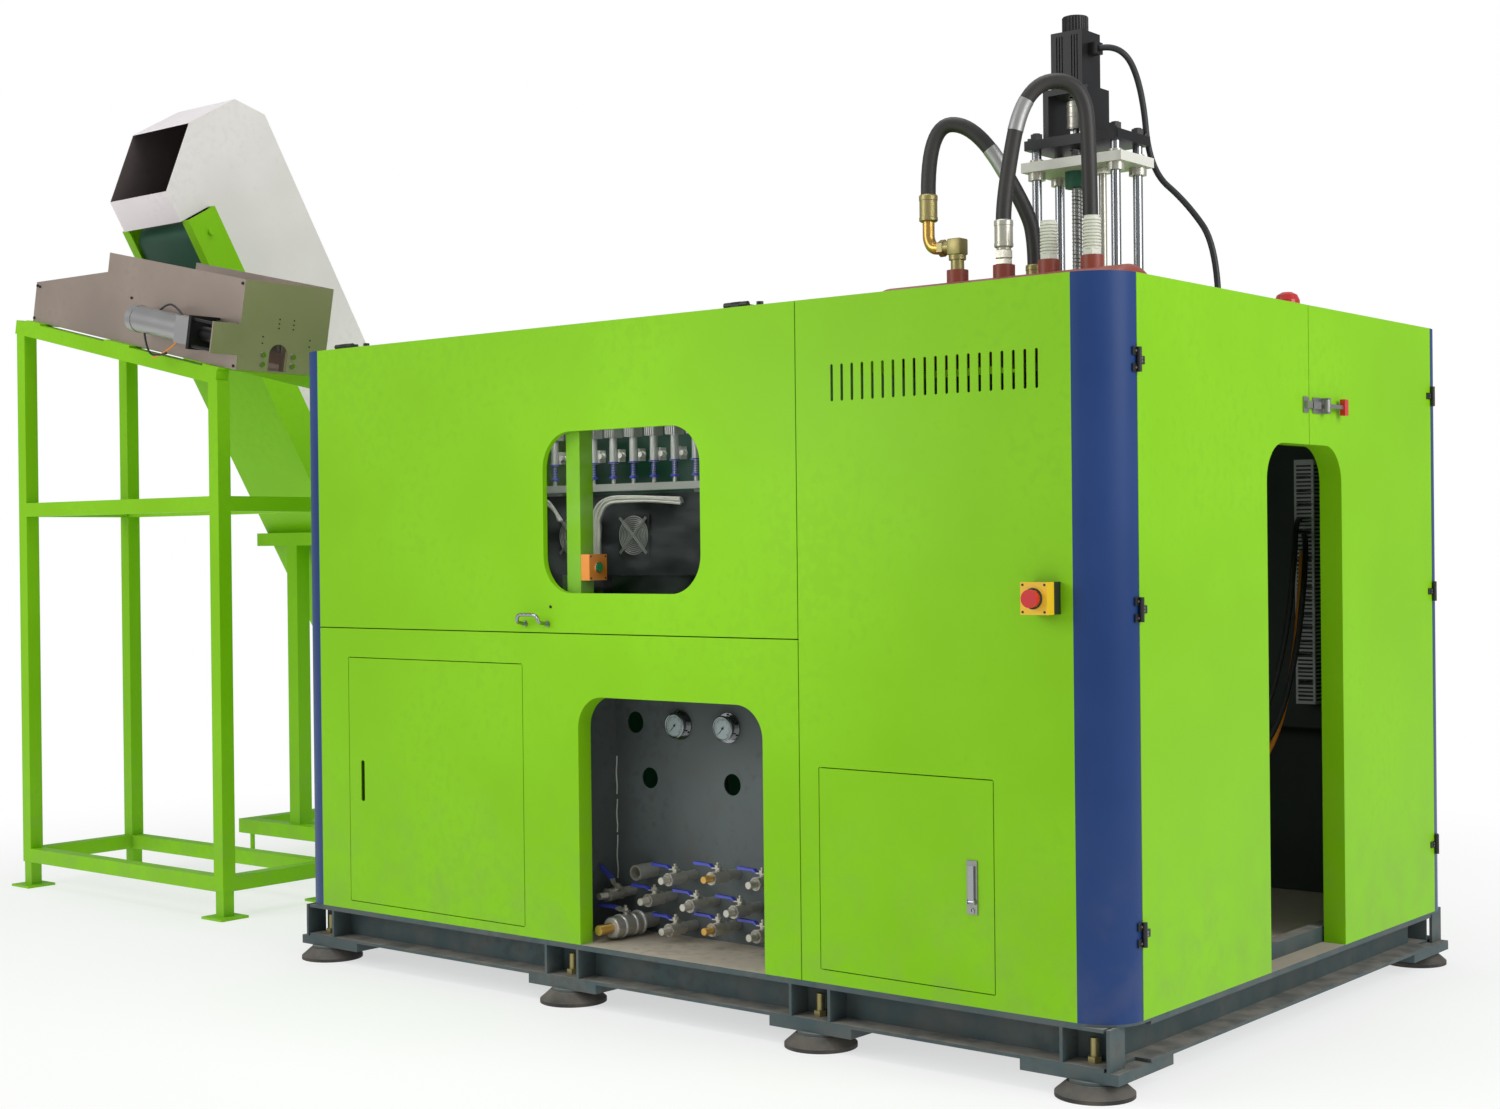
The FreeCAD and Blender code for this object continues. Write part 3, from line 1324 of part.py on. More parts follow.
def make_oven():
    """Make the heating zone housing, its fans, the spindle row and the duct."""
    body = slab("XZ", "oven_front", "oven_back-oven_front",
                ("box", "-oven_left", "oven_low", "-oven_right", "oven_high"))
    pocket(body, "XZ", "oven_front+sheet", "oven_back-oven_front-2*sheet",
           ("box", "-oven_left+sheet", "oven_low+sheet", "-oven_right-sheet", "oven_high-sheet"))
    holes = []
    for x in ("fan_right_x", "fan_left_x"):
        holes.append(rod("Y", f"-{x}", "oven_front-1", "fan_z", "fan_hole_radius", "sheet+2"))
    shell = cut(body, *holes)
    reach = "fan_hole_radius+8"
    bars = [cut(rod("Y", "0", "-fan_ring-4", "0", "fan_ring_radius+fan_ring", "fan_ring"),
                rod("Y", "0", "-fan_ring-5", "0", "fan_ring_radius", "fan_ring+2")),
            box(f"-({reach})", "-fan_ring-4", "-fan_arm/2", f"2*({reach})", "fan_ring",
                "fan_arm"),
            box("-fan_arm/2", "-fan_ring-4", f"-({reach})", "fan_arm", "fan_ring",
                f"2*({reach})")]
    for foot_x, foot_z in ((f"-({reach})", "-fan_arm/2"), (f"{reach}-fan_arm", "-fan_arm/2"),
                           ("-fan_arm/2", f"-({reach})"), ("-fan_arm/2", f"{reach}-fan_arm")):
        bars.append(box(foot_x, "-4", foot_z, "fan_arm", "4", "fan_arm"))
    guard = fuse(*bars)
    extras = []
    for label, x in (("fan_right", "fan_right_x"), ("fan_left", "fan_left_x")):
        extras.append(twin(guard, f"-{x}", "oven_front", "fan_z", (0, 1, 0, 45)))
        motor = box(f"-{x}-25", "oven_front+sheet+fan_depth+8", "fan_z-25", "50", "40", "50")
        strut = box(f"-{x}-fan_hole_radius-20", "oven_front+sheet+fan_depth+48", "fan_z-15",
                    "2*fan_hole_radius+40", "5", "30")
        hold = [box(f"-{x}{dx}", "oven_front+sheet", "fan_z-15", "12", "fan_depth+48", "30")
                for dx in ("-fan_hole_radius-20", "+fan_hole_radius+8")]
        pin = rod("Y", f"-{x}", "oven_front+sheet", "fan_z", "fan_pin_radius", "fan_depth+10")
        extras.append(fuse(motor, strut, pin, *hold))
        hub = rod("Y", f"-{x}", "oven_front+sheet+1", "fan_z", "fan_hub_radius", "fan_depth")
        blades = []
        for i in range(5):
            blade = box("fan_hub_radius-4", "-fan_depth/2", "-fan_blade_thick/2",
                        "fan_blade_radius-fan_hub_radius+4", "fan_depth", "fan_blade_thick")
            blade.Placement = FreeCAD.Placement(
                FreeCAD.Vector(), FreeCAD.Rotation(FreeCAD.Vector(1, 0, 0), read("fan_blade_pitch")))
            bind(blade, Placement__Base__x="fan_hub_radius-4", Placement__Base__y="-8")
            blades.append(twin(blade, f"-{x}", "oven_front+sheet+1+fan_depth/2", "fan_z",
                               (0, 1, 0, 72 * i)))
        centre = rod("Y", f"-{x}", "oven_front", "fan_z", "fan_pin_radius+bore_clearance",
                     "fan_depth+20")
        node(cut(fuse(hub, *blades), centre), label)
    leg = "oven_leg"
    legs = []
    for x in ("-oven_left", f"-oven_right-{leg}"):
        for y in ("oven_front+30", f"oven_back-30-{leg}"):
            legs.append(span(x, y, "deck", f"{x}+{leg}", f"{y}+{leg}", "oven_low"))
    wall = span("-cabinet_length+300", "oven_back+60", "deck", "-groove_x-250",
                "oven_back+60+sheet", "deck+cabinet_height-post-30")
    node(group(shell, *extras, *legs, wall), "oven_housing")

    y = "spindle_y"
    rail = span("-oven_left", f"{y}-rail_deep/2", "rail_low", "-oven_right",
                f"{y}+rail_deep/2", "rail_high")
    bracket = [span(x, f"{y}+rail_deep/2", "oven_high", f"{x}+30", f"{y}+rail_deep/2+60",
                    "rail_high") for x in ("-oven_left+20", "-oven_right-60")]
    spindles = [fuse(rail, *bracket)]
    one = group(
        fuse(rod("Z", "0", "0", "rail_high", "rod_radius", "tube_low-rail_high"),
             rod("Z", "0", "0", "ring_low_z", "ring_radius-3", "ring_tall"),
             rod("Z", "0", "0", "tube_low", "tube_radius", "cap_low-tube_low"),
             rod("Z", "0", "0", "tube_low-ring_tall", "ring_radius", "ring_tall"),
             box("-cap_side/2", "-cap_side/2", "cap_low", "cap_side", "cap_side",
                 "cap_high-cap_low"),
             box("-17", "tube_radius-4", "tube_low", "34", "26", "36")))
    for i in range(8):
        spindles.append(twin(one, f"-spindle_first_x-{i}*spindle_pitch", y))
    node(group(*spindles), "spindle_row")

    back = "cabinet_depth-frame_front-post-sheet"
    duct = slab("XY", "duct_low", "duct_high-duct_low",
                ("box", "-duct_left", f"{back}-duct_deep", "-duct_right", back))
    pocket(duct, "XY", "duct_low-1", "duct_high-duct_low+2",
           ("box", "-duct_left+duct_wall", f"{back}-duct_deep+duct_wall",
            "-duct_right-duct_wall", f"{back}-duct_wall"))
    slot = pocket(duct, "XZ", f"{back}-duct_deep-1", "duct_wall+2",
                  ("box", "-duct_left+8", "duct_low+20", "-duct_right-8",
                   "duct_low+20+duct_slot"))
    rows = duct.newObject("PartDesign::LinearPattern", "Slots")
    rows.Originals = [slot]
    rows.Direction = (slot.Profile[0], ["V_Axis"])
    bind(rows, Length="duct_slot_pitch*(duct_slots-1)", Occurrences="duct_slots")
    duct.Tip = rows
    node(duct, "cable_duct")


def make_air():
    """Make the air tank, its fittings and the three lines."""
    left = "-tank_left"
    right = "-tank_right"
    body = rod("X", left, "tank_y", "tank_z", "tank_radius", f"{right}-({left})")
    domes = []
    for x, way in ((left, -90), (right, 90)):
        dome = document.addObject("Part::Ellipsoid", "Dome")
        dome.Angle1 = 0
        dome.Angle2 = 90
        bind(dome, Radius1="tank_dome", Radius2="tank_radius", Radius3="tank_radius")
        domes.append(place(dome, x, "tank_y", "tank_z", (0, 1, 0, way)))
    shell = cut(fuse(body, *domes),
                rod("X", f"{left}+tank_wall", "tank_y", "tank_z", "tank_radius-tank_wall",
                    f"{right}-({left})-2*tank_wall"))
    ports = []
    for x in ("socket_first_x", "socket_second_x", "socket_third_x", "socket_fourth_x"):
        ports.append(rod("Z", f"-{x}", "tank_y", "socket_root", "socket_radius",
                         "socket_top-socket_root"))
    loop = sweep([("-tank_left-tank_dome+8", "tank_y-loop_spread", "tank_z"),
                  ("-loop_reach", "tank_y-loop_spread", "tank_z"),
                  ("-loop_reach", "tank_y+loop_spread", "tank_z"),
                  ("-tank_left-tank_dome+8", "tank_y+loop_spread", "tank_z")], "loop_bar")
    node(fuse(shell, *ports, loop), "air_tank")

    fittings = [
        fuse(rod("Z", "-socket_first_x", "tank_y", "socket_top", "elbow_radius",
                 "elbow_z-socket_top+elbow_radius"),
             span("-elbow_x-elbow_radius", "tank_y-elbow_radius", "elbow_z-elbow_radius",
                  "-socket_first_x+elbow_radius", "tank_y+elbow_radius", "elbow_z+elbow_radius"),
             rod("Z", "-elbow_x", "tank_y", "elbow_z", "elbow_radius-2", "elbow_top-elbow_z")),
        rod("Z", "-elbow_x", "tank_y", "elbow_top", "ferrule_radius", "ferrule_length"),
        rod("Z", "-socket_second_x", "tank_y", "socket_top", "elbow_radius-3",
            "riser_top-socket_top"),
        rod("Z", "-socket_second_x", "tank_y", "riser_top", "ferrule_radius", "ferrule_length"),
    ]
    for x in ("socket_third_x", "socket_fourth_x"):
        fittings.append(fuse(
            hexagon(f"-{x}", "tank_y", "socket_top", "silencer_collar",
                    "silencer_collar_top-socket_top"),
            rod("Z", f"-{x}", "tank_y", "silencer_collar_top", "silencer_radius",
                "silencer_top-silencer_collar_top")))
    for x, y, z in (("low_end_x", "low_end_y", "low_end_z"),
                    ("tall_end_x", "tall_end_y", "tall_end_z")):
        fittings.append(rod("Z", f"-{x}", y, f"{z}-ferrule_length", "ferrule_radius",
                            "ferrule_length"))
        fittings.append(rod("Z", f"-{x}", y, "bridge_top+block_side",
                            "ferrule_radius-6", f"{z}-ferrule_length-bridge_top-block_side"))
        fittings.append(box(f"-{x}-block_side/2", f"{y}-(ferrule_radius-6)", "bridge_top",
                            "block_side", "block_side", "block_side"))
    node(group(*fittings), "top_fittings")

    node(sweep([("-elbow_x", "tank_y", "elbow_top+ferrule_length"),
                ("-elbow_x", "tank_y", "low_crest_z+5"),
                ("-low_far_x", "low_far_y", "low_crest_z"),
                ("-low_end_x-10", "low_end_y-14", "low_drop_z"),
                ("-low_end_x", "low_end_y", "low_end_z+hose_straight"),
                ("-low_end_x", "low_end_y", "low_end_z")], "hose_radius"), "hose_low")
    node(sweep([("-socket_second_x", "tank_y", "riser_top+ferrule_length"),
                ("-socket_second_x", "tank_y", "riser_top+ferrule_length+hose_straight"),
                ("-tall_near_x", "tall_near_y", "tall_crest_z"),
                ("-tall_end_x-9", "tall_end_y-7", "tall_crest_z+5"),
                ("-tall_end_x", "tall_end_y", "tall_drop_z"),
                ("-tall_end_x", "tall_end_y", "tall_end_z")], "hose_radius"), "hose_tall")
    gland_x = "-junction_x+junction_side/2"
    gland_y = "junction_y+junction_side/2"
    node(sweep([("-axis_x+motor_side/2+plug_reach", "axis_y", "plug_z"),
                ("-axis_x+motor_side/2+cable_reach", "axis_y", "plug_z"),
                ("-cable_back_x", "cable_back_y", "cable_back_z"),
                ("-cable_sag_x", "cable_sag_y", "cable_sag_z"),
                ("-cable_low_x", "cable_low_y", "cable_low_z"),
                (gland_x, gland_y, "cable_drop_z"),
                (gland_x, gland_y, "deck+cabinet_height-sheet-well_rim")],
               "cable_radius"), "servo_cable")


def make_servo():
    """Make the servo stretch unit with its posts, carriage, screw and motor."""
    posts = []
    bores = []
    bushes = []
    bush_bores = []
    for x in ("guide_left", "guide_right"):
        for y in ("guide_front", "guide_back"):
            posts.append(fuse(
                rod("Z", f"-{x}", y, "bridge_top", "guide_radius", "plate_low-bridge_top"),
                rod("Z", f"-{x}", y, "plate_low", "guide_neck",
                    "plate_thick+guide_nut_tall+3"),
                hexagon(f"-{x}", y, "plate_low+plate_thick", "guide_nut", "guide_nut_tall")))
            bores.append(rod("Z", f"-{x}", y, "plate_low-1", "guide_neck+fit_clearance",
                             "plate_thick+2"))
            bushes.append(rod("Z", f"-{x}", y, "carriage_low-bush_flange",
                              "bush_flange_radius", "bush_flange"))
            bushes.append(rod("Z", f"-{x}", y, "carriage_low+plate_thick", "bush_radius",
                              "bush_top"))
            bush_bores.append(rod("Z", f"-{x}", y, "carriage_low-bush_flange-1",
                                  "guide_radius+bore_clearance",
                                  "plate_thick+bush_flange+bush_top+2"))
    node(group(*posts), "guide_posts")

    plate = box("-plate_left", "plate_front", "plate_low", "plate_width", "plate_depth",
                "plate_thick")
    top = "plate_low+plate_thick"
    left = "-axis_x-bracket_width/2"
    front = "axis_y-bracket_depth/2"
    block = span(left, front, top, "-axis_x+bracket_width/2", "axis_y+bracket_depth/2",
                 "bracket_top")
    window = span(f"{left}+bracket_wall", f"{front}-1", f"{top}+bracket_wall/2",
                  "-axis_x+bracket_width/2-bracket_wall", "axis_y+bracket_depth/2+1",
                  "bracket_top-bracket_wall")
    hole = rod("Z", "-axis_x", "axis_y", "plate_low-1", "screw_radius+4",
               "bracket_top-plate_low+2")
    node(cut(fuse(cut(block, window), plate), hole, *bores), "servo_bracket")

    motor = box("-axis_x-motor_side/2", "axis_y-motor_side/2", "bracket_top", "motor_side",
                "motor_side", "motor_top-bracket_top")
    cap = rod("Z", "-axis_x", "axis_y", "motor_top", "motor_cap_radius",
              "motor_cap_top-motor_top")
    plug = box("-axis_x+motor_side/2", "axis_y-plug_side/2", "plug_z-plug_side/2", "plug_reach",
               "plug_side", "plug_side")
    node(fuse(motor, cap, plug), "servo_motor")

    screw = fuse(
        rod("Z", "-axis_x", "axis_y", "screw_low", "screw_radius", f"{top}+10-screw_low"),
        rod("Z", "-axis_x", "axis_y", f"{top}+9", "screw_neck", f"coupling_low-({top})-9"),
        rod("Z", "-axis_x", "axis_y", "coupling_low", "coupling_radius",
            "coupling_high-coupling_low"),
        rod("Z", "-axis_x", "axis_y", "coupling_high", "screw_neck",
            "bracket_top-coupling_high-fit_clearance"))
    node(screw, "ball_screw")

    deck = box("-carriage_left", "carriage_front", "carriage_low", "carriage_width",
               "carriage_depth", "plate_thick")
    nut = rod("Z", "-axis_x", "axis_y", "carriage_low-nut_housing", "nut_housing_radius",
              "nut_housing+plate_thick")
    rod_holder = hexagon("-stretch_x", "stretch_y", "carriage_low-14", "stretch_radius+10", "14")
    stretch = rod("Z", "-stretch_x", "stretch_y", "stretch_low", "stretch_radius",
                  "carriage_low-stretch_low+plate_thick+12")
    bore = rod("Z", "-axis_x", "axis_y", "carriage_low-nut_housing-1",
               "screw_radius+bore_clearance", "nut_housing+plate_thick+2")
    node(cut(fuse(deck, nut, rod_holder, stretch, *bushes), bore, *bush_bores),
         "stretch_carriage")

    base = span("-clamp_left", "clamp_front", "deck", "-clamp_right", "clamp_back",
                "deck+clamp_base")
    bridge = span("-clamp_left", "clamp_front", "bridge_top-bridge_thick", "-clamp_right",
                  "clamp_back", "bridge_top")
    ties = []
    for x in ("-clamp_left+tie_inset", "-clamp_right-tie_inset"):
        for y in ("clamp_front+tie_inset", "clamp_back-tie_inset"):
            ties.append(rod("Z", x, y, "deck+clamp_base", "tie_radius",
                            "bridge_top-bridge_thick-deck-clamp_base"))
    platens = []
    for x in ("-clamp_left+tie_inset-tie_radius-10", "-clamp_right-tie_inset-platen_thick+35"):
        platens.append(box(x, "clamp_front+tie_inset-tie_radius-10", "platen_low",
                           "platen_thick", "clamp_back-clamp_front-2*tie_inset+2*tie_radius+20",
                           "platen_tall"))
    slots = [rod("Z", "-stretch_x", "stretch_y", "bridge_top-bridge_thick-1", "stretch_hole",
                 "bridge_thick+2"),
             rod("Z", "-axis_x", "axis_y", "bridge_top-bridge_thick-1", "screw_bore",
                 "bridge_thick+2")]
    node(cut(fuse(base, bridge, *ties, *platens), *slots), "mould_clamp_frame")

    lamp = rod("Z", "-beacon_x", "beacon_y", "deck+cabinet_height", "beacon_base_radius",
               "beacon_base")
    dome = turned("XZ", [("0", "0"), ("beacon_radius", "0"),
                         ("beacon_radius", "(beacon_top-deck-cabinet_height-beacon_base)*0.55"),
                         ("beacon_radius*0.8",
                          "(beacon_top-deck-cabinet_height-beacon_base)*0.85"),
                         ("beacon_radius*0.4", "beacon_top-deck-cabinet_height-beacon_base"),
                         ("0", "beacon_top-deck-cabinet_height-beacon_base")], "V_Axis")
    node(group(lamp, twin(dome, "-beacon_x", "beacon_y", "deck+cabinet_height+beacon_base")),
         "beacon")


INCLINE = (0, 1, 0, read("incline"))
CLIMB = (1, 0, 0, read("climb"))


def sloped(shape):
    """Set a shape from the trough's own frame onto the incline."""
    return twin(shape, "-trough_x", "0", "trough_z", INCLINE)


def make_stand():
    """Make the loader stand, the trough, its rollers and the geared motor."""
    parts = []
    low = "stand_foot_top"
    for x, high in (("-stand_left", "stand_beam_left_top-30"),
                    ("-stand_right-tube", "stand_beam_left_top-30-(stand_left-stand_right)*tan(incline)")):
        for y in ("stand_front", "stand_back-tube"):
            parts.append(span(x, y, low, f"{x}+tube", f"{y}+tube", high))
            parts.append(box(f"{x}-(stand_foot_side-tube)/2", f"{y}-(stand_foot_side-tube)/2",
                             "0", "stand_foot_side", "stand_foot_side", "stand_foot_plate"))
            parts.append(box(f"{x}+4", f"{y}+4", "stand_foot_plate", "tube-8", "tube-8",
                             f"{low}-stand_foot_plate"))
        for z in ("stand_mid_low", low):
            parts.append(span(x, "stand_front+tube", z, f"{x}+tube", "stand_back-tube",
                              f"{z}+tube"))
    for z in ("stand_mid_low", low):
        for y in ("stand_front", "stand_back-tube"):
            parts.append(span("-stand_left+tube", y, z, "-stand_right-tube", f"{y}+tube",
                              f"{z}+tube"))
    start = "(trough_x-stand_left)"
    length = "(stand_left-stand_right)/cos(incline)"
    for y in ("stand_front", "stand_back-tube"):
        parts.append(sloped(box(start, y, "-tube-tab_thick", length, "tube", "tube")))
    for u, wide in (("tab_left_u", "tab_left_wide"), ("tab_mid_u", "tab_mid_wide"),
                    ("tab_right_u", "tab_right_wide")):
        parts.append(sloped(box(f"{u}-60", "stand_front", "-tab_thick", wide,
                                "stand_back-stand_front", "tab_thick")))
    node(fuse(*parts), "stand_frame")

    side = ("polygon", [("0", "0"), ("trough_length", "0"), ("trough_length", "trough_high"),
                        ("trough_step_u", "trough_high"), ("trough_step_u", "trough_step_w"),
                        ("0", "trough_nose_w")])
    front = slab("XZ", "trough_front", "trough_skin", side)
    back = slab("XZ", "trough_back-trough_skin", "trough_skin", side)
    floor = box("0", "trough_front+trough_skin", "0", "trough_length",
                "trough_back-trough_front-2*trough_skin", "trough_skin")
    end = box("trough_length-trough_skin", "trough_front+trough_skin", "trough_skin",
              "trough_skin", "trough_back-trough_front-2*trough_skin",
              "trough_high-trough_skin")
    slot = [box("trough_length-2*trough_skin", "slot_centre_y-slot_half", "trough_skin",
                "3*trough_skin", "2*slot_half", "slot_high-slot_half"),
            rod("X", "trough_length-2*trough_skin", "slot_centre_y", "slot_high-slot_half+4",
                "slot_half", "3*trough_skin")]
    nose = box("0", "trough_front+trough_skin", "trough_skin", "trough_skin",
               "trough_back-trough_front-2*trough_skin", "trough_nose_w-trough_skin-60")
    pins = []
    rollers = []
    for y in ("slot_centre_y-roller_gap/2", "slot_centre_y+roller_gap/2"):
        high = "roller_low_w+roller_radius"
        post = box("trough_skin", f"{y}-15", "trough_skin", "roller_start-2*trough_skin", "30",
                   f"{high}+15-trough_skin")
        far = box("roller_start+roller_length+4", f"{y}-15", "trough_skin",
                  "trough_length-roller_start-roller_length-4-trough_skin", "30",
                  f"{high}+15-trough_skin")
        pins.append(fuse(post, far, rod("X", "roller_start-6", y, high, "roller_pin", "30"),
                         rod("X", "roller_start+roller_length-24", y, high, "roller_pin",
                             "30")))
        bar = rod("X", "roller_start", y, high, "roller_radius", "roller_length")
        bores = [rod("X", "roller_start-1", y, high, "roller_pin+bore_clearance", "28"),
                 rod("X", "roller_start+roller_length-26", y, high,
                     "roller_pin+bore_clearance", "28")]
        rollers.append(cut(bar, *bores))
    node(group(sloped(fuse(front, back, floor, cut(end, *slot), nose, *pins))), "trough")
    node(group(sloped(rollers[0])), "sorting_roller_front")
    node(group(sloped(rollers[1])), "sorting_roller_rear")

    y = "gear_y"
    w = "gear_w"
    motor = fuse(
        rod("X", "gear_start_u", y, w, "gear_cap_radius", "gear_cap"),
        rod("X", "gear_start_u+gear_cap", y, w, "gear_radius",
            "gear_mid_u-gear_start_u-gear_cap"),
        box("gear_mid_u", f"{y}-gear_box/2", f"{w}-gear_box/2", "gear_flange_u-gear_mid_u",
            "gear_box", "gear_box"),
        box("gear_flange_u", f"{y}-gear_flange_side/2", f"{w}-gear_flange_side/2",
            "gear_flange", "gear_flange_side", "gear_flange_side"),
        rod("X", "gear_flange_u+gear_flange", y, w, "gear_coupling_radius",
            "gear_end_u-gear_flange_u-gear_flange-30"))
    plate = box("gear_end_u", f"{y}-bracket_side/2", f"{w}-bracket_side/2", "bracket_plate",
                "trough_front-gear_y+bracket_side/2", "bracket_side")
    stands = [rod("X", "gear_flange_u+gear_flange", f"{y}{dy}", f"{w}{dz}", "5",
                  "gear_end_u-gear_flange_u-gear_flange")
              for dy in ("-44", "+44") for dz in ("-44", "+44")]
    node(group(sloped(fuse(motor, plate, *stands))), "gear_motor")


def climbing(shape):
    """Set a shape from the elevator's own frame onto its slope."""
    return twin(shape, "0", "lift_y", "lift_z", CLIMB)


def make_elevator():
    """Make the elevator frame with hopper, the belt and the hood."""
    low = "head_s-run_length"
    parts = []
    for x, inner in (("-lift_left", 1), ("-lift_right-channel_wide", -1)):
        rail = box(x, "0", low, "channel_wide", "channel_deep", "run_length")
        shift = "channel_wall" if inner > 0 else "-channel_wall"
        hollow = box(f"{x}+{shift}", "channel_wall", f"{low}-1", "channel_wide",
                     "channel_deep-2*channel_wall", "run_length+2")
        parts.append(cut(rail, hollow))
    belly = box("-lift_left+channel_wide", "0", "belly_low_s",
                "lift_left-lift_right-2*channel_wide", "channel_wall",
                "belly_high_s-belly_low_s")
    parts.append(belly)
    pulleys = []
    for s in ("head_s-pulley_inset", f"{low}+pulley_inset"):
        pulleys.append(climbing(fuse(
            rod("X", "-belt_left", "pulley_n", s, "pulley_radius", "belt_left-belt_right"),
            rod("X", "-lift_left-12", "pulley_n", s, "12", "lift_left-lift_right+24"))))
    frame = [climbing(part) for part in parts]
    mast = [
        span("-mast_left", "mast_y", "foot_frame_low+foot_frame_tall", "-mast_left+mast_side",
             "mast_y+mast_side", "mast_high"),
        box("-mast_bar_left", "mast_y", "mast_high", "mast_bar_wide", "mast_side", "mast_bar"),
    ]
    base_low = "foot_frame_low"
    base_high = "foot_frame_low+foot_frame_tall"
    side = "foot_frame_tall"
    for x in ("-foot_frame_left", f"-foot_frame_right-{side}", "-mast_left"):
        mast.append(span(x, f"foot_frame_front+{side}", base_low, f"{x}+{side}",
                         f"foot_frame_back-{side}", base_high))
    for y in ("foot_frame_front", f"foot_frame_back-{side}"):
        mast.append(span("-foot_frame_left", y, base_low, "-foot_frame_right", f"{y}+{side}",
                         base_high))
    for x in ("-lift_left", "-lift_right-channel_wide"):
        mast.append(span(x, "foot_frame_back-160", base_high, f"{x}+channel_wide",
                         "foot_frame_back-120", "tail_post_high"))
    feet = []
    for x in ("-foot_frame_left+50", "-foot_frame_right-50"):
        for y in ("foot_frame_front+28", "foot_frame_back-28"):
            feet.append(fuse(rod("Z", x, y, "0", "foot_pad_radius", "foot_pad"),
                             rod("Z", x, y, "foot_pad", "foot_screw",
                                 "foot_frame_low-foot_pad")))
    wall = ("polygon", [("hopper_near_y", "hopper_near_z"), ("hopper_rim_y", "hopper_rim_z"),
                        ("hopper_far_y", "hopper_far_high"), ("hopper_far_y", "hopper_far_low"),
                        ("hopper_low_y", "hopper_low_z")])
    inner = ("polygon", [("hopper_near_y-60", "hopper_near_z"),
                         ("hopper_rim_y-20", "hopper_rim_z+40"),
                         ("hopper_far_y-hood_skin", "hopper_far_high+20"),
                         ("hopper_far_y-hood_skin", "hopper_far_low+1"),
                         ("hopper_low_y-10", "hopper_low_z-20")])
    hopper = slab("YZ", "-hood_left", "hood_left-hood_right", wall)
    pocket(hopper, "YZ", "-hood_left+hood_skin", "hood_left-hood_right-2*hood_skin", inner)
    node(group(fuse(*frame, *mast), *pulleys, *feet, hopper), "elevator_frame")

    head = "head_s-pulley_inset"
    tail = f"{low}+pulley_inset"
    wide = "belt_left-belt_right"
    outer = fuse(
        rod("X", "-belt_left", "pulley_n", head, "pulley_radius+0.3+belt_thick", wide),
        rod("X", "-belt_left", "pulley_n", tail, "pulley_radius+0.3+belt_thick", wide),
        box("-belt_left", "pulley_n-pulley_radius-0.3-belt_thick", tail, wide,
            "2*(pulley_radius+0.3+belt_thick)", "run_length-2*pulley_inset"))
    inside = fuse(
        rod("X", "-belt_left-1", "pulley_n", head, "pulley_radius+0.3", f"{wide}+2"),
        rod("X", "-belt_left-1", "pulley_n", tail, "pulley_radius+0.3", f"{wide}+2"),
        box("-belt_left-1", "pulley_n-pulley_radius-0.3", tail, f"{wide}+2",
            "2*(pulley_radius+0.3)", "run_length-2*pulley_inset"))
    cleats = [box("-belt_left+30", "pulley_n+pulley_radius+belt_thick", f"{tail}+{i}*cleat_pitch",
                  f"{wide}-60", "cleat_tall", "cleat_thick") for i in range(int(read("cleats")))]
    node(group(climbing(fuse(cut(outer, inside), *cleats))), "elevator_belt")

    profile = [("channel_deep", "hood_end_s"), ("hood_n", "hood_end_s"), ("hood_n", "hood_bend_s"),
               ("hood_bend_n", "hood_top_s"), ("hood_brow_n", "hood_top_s"),
               ("hood_lip_n", "hood_lip_high"), ("hood_lip_n", "hood_lip_low"),
               ("channel_deep", "hood_lip_low")]
    shell = slab("YZ", "-hood_left", "hood_left-hood_right", ("polygon", profile))
    hollow = [("channel_deep-300", "hood_end_s-50"), ("hood_n-hood_skin", "hood_end_s-50"),
              ("hood_n-hood_skin", "hood_bend_s"), ("hood_bend_n", "hood_top_s-hood_skin"),
              ("hood_brow_n", "hood_top_s-hood_skin"), ("hood_brow_n-40", "hood_top_s"),
              ("hood_lip_n-60", "hood_lip_high"), ("hood_lip_n+hood_skin", "hood_lip_high"),
              ("hood_lip_n+hood_skin", "hood_lip_low-20"),
              ("channel_deep-300", "hood_lip_low-20")]
    pocket(shell, "YZ", "-hood_left+hood_skin", "hood_left-hood_right-2*hood_skin",
           ("polygon", hollow))
    node(climbing(shell), "hood")


make_base()
make_frame()
make_columns()
make_front()
make_valves()
make_doors()
make_side()
make_buttons()
make_oven()
make_air()
make_servo()
make_stand()
make_elevator()
document.recompute()

for feature in document.Objects:
    if "Invalid" in feature.State or "Error" in feature.State:
        raise ValueError(f"{feature.Name} did not compute")
for piece in NODES:
    if piece.Shape.isNull() or not piece.Shape.isValid():
        raise ValueError(f"{piece.Label} has no valid shape")
    piece.Shape.exportStep(f"parts/{piece.Label}.step")
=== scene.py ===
"""Blow moulding machine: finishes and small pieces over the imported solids."""

from __future__ import annotations

import logging
import math
from dataclasses import dataclass
from enum import Enum
from typing import Callable, Sequence

import bmesh
import bpy
from mathutils import Matrix, Quaternion, Vector


